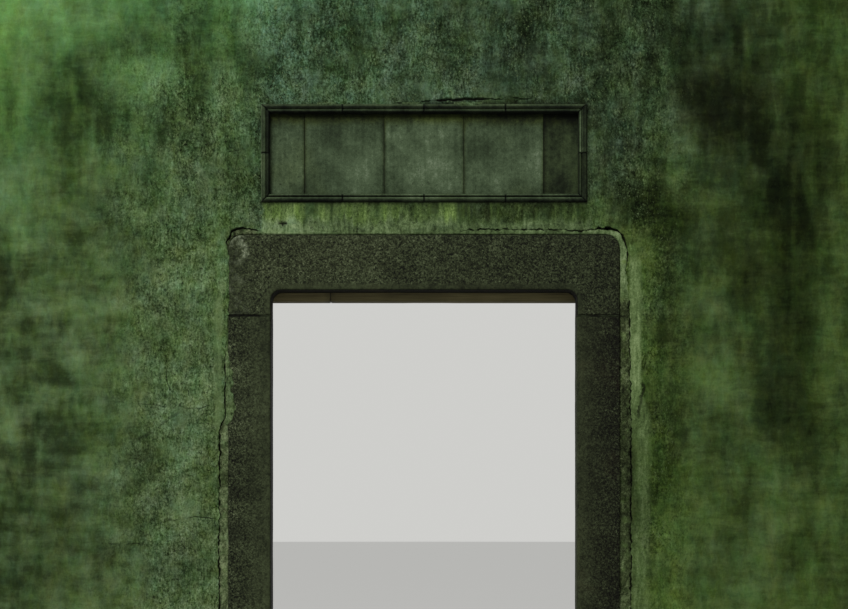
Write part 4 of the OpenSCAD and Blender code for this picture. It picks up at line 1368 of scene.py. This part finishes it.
def panel_fields(p, low, high, i):
    """The fields of a panel: painted shadow under the frame's top and painted shade beside its inner seams,
    rubbed pale, mossy at the top and dirty in its seams.
    """
    x, z = p[:, 0], p[:, 2]
    side = np.minimum(x - low.x, high.x - x) + 0.002 * noise(p, 0.03, 152)
    under = high.z - z + 0.010 * noise(p, (0.05, 1, 1), 155)
    # Painted shadow under the frame's top, fading downwards
    shade = np.interp(under, (0.0, 0.012, 0.026, 0.045, 0.065, 0.10), (-0.9, -0.78, -0.58, -0.32, -0.12, 0.0))
    middle = reach(x, z, (low.x + high.x) / 2 + 0.06, low.z + 0.15, 0.17, 0.14)
    rubbed = step(1.2, 0.2, middle + 0.5 * fractal(p, 0.09, 3, 157))
    if i == RUBBED_PANEL:
        rubbed += 1.2 * step(high.x - 0.09, high.x - 0.02, x) * step(low.z + 0.08, low.z + 0.16, z)
    from_frame = FIELD_HALF - np.abs(x)
    # Painted shade beside the inner seams, less where the painted shadow already lies
    shade -= 0.26 * step(0.015, 0.002, side) * (from_frame > 0.02) * step(-0.6, -0.1, shade)
    seam = np.where(from_frame < 0.02, 0.2, 0.3) * step(0.007, 0.001, side) * step(-0.7, -0.2, shade)
    runs = noises(p, (0.03, (0.02, 1, 0.3), 153), (0.03, (0.05, 1, 0.5), 154))
    moss = 0.95 * step(-0.05, -0.6, shade) + 0.25 * step(0.1, 0.7, fractal(p, 0.2, 3, 158))
    return {
        "tone": PANEL_TONES[i] + 0.10 * fractal(p, 0.25, 3, 156) + runs + shade + 0.14 * rubbed,
        "moss": moss + 0.35 * (i == len(PANEL_TONES) - 1),
        "dirt": np.maximum(seam, 0.35 * step(low.z + 0.008, low.z, z)), "own": 1.7 * i,
    }


def tablet_panels(material):
    """The bare squares and narrow end panels of the tablet."""
    for i in range(len(PANEL_TONES)):
        node = "tablet_panel_%d" % (i + 1)
        low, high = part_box(node)

        def rub(p):
            waves = 0.0005 * (1.4 + fractal(p, 0.16, 3, 150 + i))
            pits = 0.0012 * step(0.6, 0.9, noise(p, 0.02, 151))
            return (waves + pits) * step(0.0, 0.002, np.minimum(p[:, 0] - low.x, high.x - p[:, 0]))

        points, faces = block(low, high, (0.009, 0.012, 0.009), 0.0022, rub)
        panel = (points, faces, panel_fields(points, low, high, i))
        gather(node + "_rubbed", [panel], material, (node,))


# The moulding of the tablet's frame: radii of its reed and bead, the quirk between them, where its back
# begins and how far the bead is set back from the reed
REED_R = 0.0125
BEAD_R = 0.00675
QUIRK_W = 0.0025
QUIRK_DEPTH = 0.0145
FRAME_BACK = 0.03
BEAD_SET_BACK = 0.003

# Numbers of the moulding's points in the quirk
QUIRK_POINTS = (13, 14)


def moulding():
    """The section of the tablet's frame: distance in from the outer edge, and Y."""
    turn = np.linspace(math.pi, 0, 11)
    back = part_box("frame_top")[1].y
    bead_start = 2 * REED_R + QUIRK_W
    end = bead_start + 2 * BEAD_R
    reed, bead = (
        np.stack([start + r + r * np.cos(turn), front + r - r * np.sin(turn)], 1)
        for start, front, r in ((0, CREST, REED_R), (bead_start, CREST + BEAD_SET_BACK, BEAD_R)))
    quirk = [(2 * REED_R, CREST + QUIRK_DEPTH), (bead_start, CREST + QUIRK_DEPTH)]
    behind = CREST + FRAME_BACK
    return np.concatenate([[(0, back), (0, behind)], reed, quirk, bead, [(end, behind), (end, back)]])


# Painted highlights and shade on each side of the frame, as light falls from above and the left: how light it
# is at places from its outer edge inward, in millimetres
FRAME_LIGHT_AND_SHADE = {
    "frame_bottom": ((0, 5, 10, 15, 19, 23, 26, 29, 33, 36, 41),
                     (-0.80, -0.74, -0.52, -0.22, 0.20, 0.36, -0.24, -0.50, -0.24, 0.22, 0.28)),
    "frame_top": ((0, 8, 12, 16, 21, 24, 28, 32, 36, 41),
                  (0.06, 0.00, -0.24, -0.74, -0.70, -0.20, 0.14, -0.22, -0.72, -0.95)),
    "frame_left": ((0, 3, 8, 13, 18, 22, 27, 32, 36, 41),
                   (0.44, 0.30, -0.24, -0.04, 0.22, -0.06, -0.36, -0.60, -0.90, -0.94)),
    "frame_right": ((0, 5, 9, 14, 20, 24, 29, 34, 38, 41),
                    (-0.76, -0.54, -0.36, -0.62, -0.66, -0.44, -0.20, -0.18, -0.50, -0.64)),
}


def frame_brick(start, end, skews, place, tones, seed):
    """One brick of the frame. start and end are along its side, and a mitre moves them by the skews."""
    section = moulding()
    n = len(section)
    long = end - start
    rows = joined(span(0, 0.006, 0.002), span(0.006, long - 0.006, 0.0085), span(long - 0.006, long, 0.002))
    inward, y = section[:, 0], section[:, 1]
    first, last = start + skews[0] * inward, end + skews[1] * inward
    along = first + (rows / rows[-1])[:, None] * (last - first)
    points = place(along.ravel(), np.tile(inward, len(rows)), np.tile(y, len(rows)))
    from_end = np.repeat(np.minimum(rows, rows[-1] - rows), n)
    chip = 0.004 * step(0.35, 0.9, noise(points, 0.03, seed)) * step(0.02, 0.0, from_end)
    sink = 0.0016 * step(0.004, 0.0, from_end) + chip + 0.0010
    sink += noises(points, (0.0006, 0.05, seed + 1), (0.0004, 0.012, seed + 2))
    points[:, 1] += sink * (points[:, 1] < CREST + 0.025)
    faces = tube_quads(n, len(rows))[:, [0, 3, 2, 1]]
    # Painted shade in the quirk between the reed and the bead
    quirk = np.tile(np.isin(np.arange(n), QUIRK_POINTS), len(rows)) * 0.4
    # Painted highlights and shade across the moulding, from the table
    tone = np.tile(np.interp(inward, np.array(tones[0]) / 1000, tones[1]), len(rows))
    return points, faces, {"tone": tone, "dirt": np.maximum(quirk, 0.8 * step(0.006, 0.001, from_end))}


def tablet_frame(material):
    """The reeded frame in mitred bricks: four in each long side and two in each short one."""
    middle = (TABLET_LOW + TABLET_HIGH) / 2
    rise = middle - TABLET_LOW
    sides = {
        "frame_bottom": (lambda a, b, y: np.stack([a, y, TABLET_LOW + b], 1), 4, TABLET_HALF, 0.003),
        "frame_top": (lambda a, b, y: np.stack([-a, y, TABLET_HIGH - b], 1), 4, TABLET_HALF, 0.003),
        "frame_left": (lambda a, b, y: np.stack([b - TABLET_HALF, y, middle - a], 1), 2, rise, 0),
        "frame_right": (lambda a, b, y: np.stack([TABLET_HALF - b, y, middle + a], 1), 2, rise, 0),
    }
    gap = 0.0015
    for name, (place, count, half, mitre_gap) in sides.items():
        bricks = []
        for k in range(count):
            first, last = k == 0, k == count - 1
            start = 2 * half * k / count - half + (mitre_gap if first else gap)
            end = 2 * half * (k + 1) / count - half - (mitre_gap if last else gap)
            skews = (1.0 if first else 0.0, -1.0 if last else 0.0)
            points, faces, fields = frame_brick(start, end, skews, place, FRAME_LIGHT_AND_SHADE[name], 160 + 7 * k)
            fields["tone"] += 0.04 * (k % 3 - 1) + 0.12 * noise(points, (0.05, 1, 0.05), 170 + k)
            # Painted highlight on the bead of the right side's upper brick
            if name == "frame_right" and last:
                fields["tone"] += 0.05 + 0.46 * hump(TABLET_HALF - points[:, 0], 0.020, 0.026, 0.036, 0.040)
            fields["moss"] = 0.12 + 0.2 * step(0.0, 0.8, noise(points, 0.12, 180))
            fields["own"] = 0.9 * k
            bricks.append((points, faces, fields))
        close_holes(gather(name + "_bricks", bricks, material, (name,), angle=60))


# The coping: its slope, its rows of tiles and where its eaves lie
SLOPE = math.radians(28)
ROWS = 24
TILE_T = 0.012
LAP = 0.006
EAVE_Y = -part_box("corbel_front_upper")[0].y
EAVE_Z = CORBEL_TOP + 0.018
SLOPE_L = 0.2262
PAN_END = 0.062
COVER_END = 0.0742
COVER_W = 0.136
COVER_R = 0.07326
COVER_FOOT = 0.0132
COVER_MID = COVER_FOOT + 0.046 - COVER_R
PITCH = (2 * WALL_HALF - COVER_W) / ROWS
PAN_W = PITCH - 0.022
PAN_R = 0.125
PAN_MID = 0.129
PAN_EDGE = PAN_MID - math.sqrt(PAN_R ** 2 - PAN_W ** 2 / 4)
DRIP_H = 0.108

# Sizes of the tiles' details: thicknesses, how far a tile runs on under the one above, how far a rounded
# edge reaches, the raised rim of an eave piece, the room for it, and a thin ring or line inside the rim
PAN_T = 0.007
COVER_T = 0.008
TILE_TAIL = 0.022
TILE_EDGE = 0.004
RIM_RISE = 0.0022
RELIEF_ROOM = 0.0024
LINE_IN = 0.019

# Half the angle that the section of a pan and of a cover turns through
PAN_TURN = math.asin(PAN_W / 2 / (PAN_R + PAN_T))
COVER_TURN = math.acos((COVER_FOOT - COVER_MID) / COVER_R)


def on_slope(x, h, d, back):
    """Points of a slope: X along the wall, h square to the slope and d down it from the bed's edge."""
    points = np.stack([x, -EAVE_Y - h * math.sin(SLOPE) - d * math.cos(SLOPE),
                       EAVE_Z + h * math.cos(SLOPE) - d * math.sin(SLOPE)], 1)
    return points * (-1, -1, 1) if back else points


def tile(x, top, end, half_turn, arc, back, rng):
    """One lapped tile. arc gives X and h from an angle and from how far out of the row's face it lies."""
    across = np.linspace(-half_turn, half_turn, 11)
    down = np.array([top - TILE_TAIL, top + TILE_EDGE, (top + end) / 2, end - TILE_EDGE, end])
    cube, faces = grid_box(across, np.array([0.0, 1.0]), down + rng.uniform(-0.0015, 0.0015))
    turn, outer, d = cube.T
    d = np.minimum(d, end)
    sunk = LAP * np.clip((end - d) / (end - top), 0, 1.3) + rng.uniform(0.0, 0.0008)
    worn_end = 0.0014 * step(end - 0.003, end, d) * outer
    seat_x, seat_h = arc(turn, outer, sunk + worn_end)
    lean = rng.uniform(-0.012, 0.012)
    return on_slope(x + seat_x + lean * (d - end), seat_h, d, back), faces, chance(rng, -0.35, 0.35)


def pan_arc(turn, outer, sunk):
    """Section of a pan: a trough whose upper face is outer."""
    r = PAN_R + sunk + PAN_T * (1 - outer)
    return r * np.sin(turn), PAN_MID - r * np.cos(turn)


def cover_arc(turn, outer, sunk):
    """Section of a cover: a barrel whose upper face is outer."""
    r = COVER_R - sunk - COVER_T * (1 - outer)
    return r * np.sin(turn), COVER_MID + r * np.cos(turn)


def drip(x, back, rng):
    """The pointed tongue under a pan's end, with a raised rim."""
    half = PAN_W / 2
    r = (half + DRIP_H ** 2 / half) / 2
    cube, faces = grid_box(np.linspace(-0.985, 0.985, 21), np.linspace(0, 1, 12), np.array([0.0, 1.0]))
    across, rise, front = cube[:, 0] * half, cube[:, 1], cube[:, 2]
    low = PAN_EDGE - np.sqrt(r ** 2 - (np.abs(across) + r - half) ** 2)
    high = PAN_MID - np.sqrt(PAN_R ** 2 - across ** 2)
    h = low + (high - low) * rise
    from_rim = r - np.hypot(np.abs(across) + r - half, PAN_EDGE - h)
    line = 0.0014 * step(0.003, 0.001, np.abs(from_rim - LINE_IN))
    raised = RIM_RISE * step(0.0085, 0.0065, from_rim) + line
    d = PAN_END - TILE_T + front * (TILE_T - RELIEF_ROOM + raised)
    return on_slope(x + across, h, d, back), faces, chance(rng, -0.3, 0.2)


def cover_end(x, back, rng):
    """The closed end of a row of covers, with a raised rim and a plain boss."""
    cube, faces = grid_box(np.linspace(-1, 1, 21), np.linspace(0, 1, 12), np.array([0.0, 1.0]))
    a, q, front = cube.T
    arc_x, arc_h = COVER_R * np.sin(a * COVER_TURN), COVER_MID + COVER_R * np.cos(a * COVER_TURN)
    across = (1 - q) * a * COVER_R * math.sin(COVER_TURN) + q * arc_x
    h = (1 - q) * COVER_FOOT + q * arc_h
    raised = RIM_RISE * step(COVER_R - 0.0095, COVER_R - 0.0075, np.hypot(across, h - COVER_MID))
    boss = np.hypot(across, h - COVER_FOOT - 0.021)
    ring = 0.0012 * step(0.003, 0.001, np.abs(boss - LINE_IN))
    raised = np.maximum(raised, 0.0020 * step(0.013, 0.004, boss) + ring)
    d = COVER_END - TILE_T + front * (TILE_T - RELIEF_ROOM + raised)
    return on_slope(x + across, h, d, back), faces, chance(rng, -0.3, 0.2)


def tile_rows(name, count, last, half_turn, arc, end_piece, replaced, material, back, rng):
    """Rows of four lapped tiles, each with its eave piece at the end called last."""
    ends = np.linspace(-SLOPE_L, last - TILE_T * 0.5, 5)
    parts = []
    for i in range(count):
        x = (i - (count - 1) / 2) * PITCH
        parts += [tile(x, top, end, half_turn, arc, back, rng) for top, end in zip(ends, ends[1:])]
        parts.append(end_piece(x, back, rng))
    gather(name, parts, material, (replaced,), angle=38)


def tiles(material):
    """The lapped pan and cover tiles of both slopes, with their eave pieces."""
    for back, where in ((False, "front"), (True, "back")):
        rng = np.random.default_rng(7 + back)
        tile_rows("pans_" + where, ROWS, PAN_END, PAN_TURN, pan_arc, drip, "pan_tiles_" + where, material,
                  back, rng)
        tile_rows("covers_" + where, ROWS + 1, COVER_END, COVER_TURN, cover_arc, cover_end,
                  "cover_tiles_" + where, material, back, rng)


def brick_row(box, length, first, joint, cell, rng):
    """Bricks side by side through a box, whose depth holds one or two of them, on a bed of mortar."""
    low, high = box
    edges = [low.x] + list(np.arange(low.x + first, high.x - 0.03, length)) + [high.x]
    halves = apart(low.y, high.y, 0, joint) if low.y < 0 < high.y else ((low.y, high.y),)
    bricks = []
    for x0, x1 in zip(edges, edges[1:]):
        for y0, y1 in halves:
            start = (x0 + (joint / 2 if x0 > low.x else 0), y0, low.z + joint / 2)
            stop = (x1 - (joint / 2 if x1 < high.x else 0), y1, high.z - joint / 2)
            wear = worn(0.09, 0.014, 200 + int(rng.integers(1000)), 0.0007)
            bricks.append(part(start, stop, cell, 0.003, wear, dirt=0.0, **chance(rng, -0.35, 0.35)))
    return bricks


def bed_box(name, box, inset, material):
    """The mortar between the bricks of a course, a little behind their faces."""
    low, high = box
    start = (low.x + inset, low.y + (inset if low.y < 0 else 0), low.z)
    stop = (high.x - inset, high.y - (inset if high.y > 0 else 0), high.z)
    bed = part(start, stop, (0.05, 0.06, 0.02), 0.001, lambda p: 0.0008 * (1 + noise(p, 0.02, 190)),
               dirt=lambda p: 0.35 + 0.3 * noise(p, 0.1, 191))
    gather(name, [bed], material)


def courses(brick, mortar):
    """The corbel courses and the flat course of the ridge, in bricks."""
    rng = np.random.default_rng(21)
    rows = [("corbel_%s_%s" % (where, level), 0.2555, first, 0.007, (0.034, 0.08, 0.016))
            for where in ("front", "back") for level, first in (("lower", 0.128), ("upper", 0.255))]
    rows.append(("ridge_course", 0.248, 0.190, 0.005, (0.034, 0.04, 0.015)))
    for name, length, first, joint, cell in rows:
        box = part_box(name)
        gather(name + "_bricks", brick_row(box, length, first, joint, cell, rng), brick, (name,))
        bed_box(name + "_bed", box, 0.006, mortar)


def upright_tile(low, high, x, pitch, rng):
    """One upright tile of the ridge, a little bowed and set a little unevenly."""
    cube, faces = grid_box(np.array([0.0, 1.0]), np.linspace(low.y, high.y, 7), np.linspace(0, 1, 3))
    thick, y, rise = cube.T
    share = y / high.y
    wide = pitch - 0.0028 - rng.uniform(0, 0.0015)
    x = x + 0.0002 + thick * wide * 0.62 + 0.0062 * (1 - share ** 2)
    x = x + rng.uniform(-0.0006, 0.0006) + rng.uniform(-0.004, 0.004) * (rise - 0.5) * 0.4
    top = high.z - 0.007 * share ** 4 - rng.uniform(0, 0.0045)
    y = y * (1 - 0.012 * rng.uniform(0, 1))
    points = np.stack([np.clip(x, low.x, high.x), y, low.z + rise * (top - low.z)], 1)
    return points, faces, chance(rng, -0.25, 0.2)


def ridge_end(name, side, brick, mortar, rng):
    """The block that closes the ridge at an end: three bricks and a slab on them, bedded in mortar."""
    low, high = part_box(name)
    slab_z = high.z - 0.024
    inset = 0.014
    bed_inset = inset + 0.005
    gap = 0.0025
    x0, x1 = sorted((side * (WALL_HALF - 0.150), side * (WALL_HALF - inset)))
    rise = (slab_z - low.z) / 3
    parts = []
    for k in range(3):
        start = (x0, low.y + inset, low.z + k * rise + gap)
        stop = (x1, high.y - inset, low.z + (k + 1) * rise - gap)
        wear = worn(0.08, 0.014, 230 + k, 0.0006)
        parts.append(part(start, stop, 0.012, 0.003, wear, dirt=0.0, **chance(rng, -0.3, 0.3)))
    parts.append(part((low.x, low.y, slab_z), high, 0.012, 0.004, worn(0.08, 0.014, 236, 0.0006),
                      tone=0.0, own=4.0, dirt=0.0))
    gather(name + "_bricks", parts, brick, (name,))
    bed = part((x0 + 0.005, low.y + bed_inset, low.z), (x1 - 0.005, high.y - bed_inset, slab_z + 0.002),
               0.02, 0.001, dirt=0.4)
    gather(name + "_bed", [bed], mortar)


def ridge(brick, clay, mortar):
    """The upright tiles along the ridge and the blocks that close it."""
    rng = np.random.default_rng(33)
    low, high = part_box("ridge_tiles")
    count = int((high.x - low.x) / 0.0168)
    pitch = (high.x - low.x) / count
    parts = [upright_tile(low, high, low.x + i * pitch, pitch, rng) for i in range(count)]
    # A dark core in the row of upright tiles: painted shade that shows through the gaps between them
    bar = (low.x, -0.6 * high.y, low.z), (high.x, 0.6 * high.y, high.z - 0.022)
    parts.append(part(*bar, 0.5, 0.002, tone=-0.9, own=9.5))
    gather("ridge_upright_tiles", parts, clay, ("ridge_tiles",), angle=30)
    ridge_end("ridge_end_left", -1, brick, mortar, rng)
    ridge_end("ridge_end_right", 1, brick, mortar, rng)


# The camera stands where the photograph was taken from
CAMERA_PLACE = (0.0, STONE_FRONT - 7.3, 1.45)
CAMERA_LENS = 61.98
CAMERA_SHIFT = 0.2541


def add_camera():
    data = bpy.data.cameras.new("camera")
    data.sensor_width = 36
    data.lens = CAMERA_LENS
    data.shift_y = CAMERA_SHIFT
    camera = bpy.data.objects.new("camera", data)
    camera.location = CAMERA_PLACE
    camera.rotation_euler = (math.pi / 2, 0, 0)
    bpy.context.scene.collection.objects.link(camera)
    bpy.context.scene.camera = camera


def add_lamp(name, place, target, size, power):
    data = bpy.data.lights.new(name, "AREA")
    data.shape = "DISK"
    data.size = size
    data.energy = power
    lamp = bpy.data.objects.new(name, data)
    lamp.location = place
    lamp.rotation_euler = (Vector(target) - Vector(place)).to_track_quat("-Z", "Y").to_euler()
    bpy.context.scene.collection.objects.link(lamp)


# The colour of the surround, and how far the floor reaches
SURROUND = (0.62, 0.62, 0.60, 1)
FLOOR_R = 90


def seen_rays(nodes, links):
    """1 for rays that show the background to the camera, in a mirror or through glass."""
    path = nodes.new("ShaderNodeLightPath")
    share = path.outputs["Is Camera Ray"]
    for kind in ("Is Glossy Ray", "Is Transmission Ray"):
        both = nodes.new("ShaderNodeMath")
        both.operation = "MAXIMUM"
        links.new(share, both.inputs[0])
        links.new(path.outputs[kind], both.inputs[1])
        share = both.outputs[0]
    return share


def add_stage():
    """A pale floor that keeps the object's shadow, a pale surround and soft light from above."""
    turn = np.linspace(0, 2 * math.pi, 64, endpoint=False)
    rim = np.stack([FLOOR_R * np.cos(turn), FLOOR_R * np.sin(turn), 0 * turn], 1)
    floor = make("floor", rim, [range(len(turn))])
    s = Shader("pale_floor", 0.9, 0.05)
    s.principled.inputs["Base Color"].default_value = (0.75, 0.75, 0.73, 1)
    glow = s.node("ShaderNodeEmission", Color=SURROUND, Strength=1.0)
    share = s.times(seen_rays(s.nodes, s.links), 0.6)
    lit = s.node("ShaderNodeMixShader", in_0=share, in_1=s.principled.outputs[0], in_2=glow)
    s.links.new(lit, s.nodes["Material Output"].inputs["Surface"])
    floor.data.materials.append(s.material)
    world = bpy.data.worlds.new("surround")
    world.use_nodes = True
    nodes, links = world.node_tree.nodes, world.node_tree.links
    sky = nodes["Background"]
    sky.inputs["Color"].default_value = (1.0, 1.0, 0.98, 1)
    sky.inputs["Strength"].default_value = 0.32
    backdrop = nodes.new("ShaderNodeBackground")
    backdrop.inputs["Color"].default_value = SURROUND
    either = nodes.new("ShaderNodeMixShader")
    for source, target in zip((seen_rays(nodes, links), sky.outputs[0], backdrop.outputs[0]), either.inputs):
        links.new(source, target)
    links.new(either.outputs[0], nodes["World Output"].inputs["Surface"])
    bpy.context.scene.world = world
    add_lamp("key", (-3.4, -6.5, 8.2), (0, 0, 2.4), 3.0, 560)
    add_lamp("rear", (3.6, 6.5, 7.0), (0, 0, 2.4), 4.0, 330)
    bpy.context.scene.view_settings.view_transform = "Standard"


def dress(materials):
    """Gives the CAD nodes that still show their materials."""
    for node, material in materials.items():
        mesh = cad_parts[node].data
        mesh.materials.clear()
        mesh.materials.append(material)


def main():
    add_camera()
    add_stage()
    plaster = plaster_material()
    granite = granite_material()
    mortar = mortar_material()
    brick = brick_material()
    square_brick = square_brick_material()
    clay = tile_material()
    front_plaster(plaster)
    other_plaster(plaster)
    stones(granite, mortar)
    timber_pieces(timber_material())
    tablet_panels(square_brick)
    tablet_frame(square_brick)
    tiles(clay)
    courses(brick, mortar)
    ridge(brick, clay, mortar)
    dress({"wall_left": brick, "wall_right": brick, "wall_over": brick, "tile_bed": mortar,
           "ridge_foot": mortar})


main()
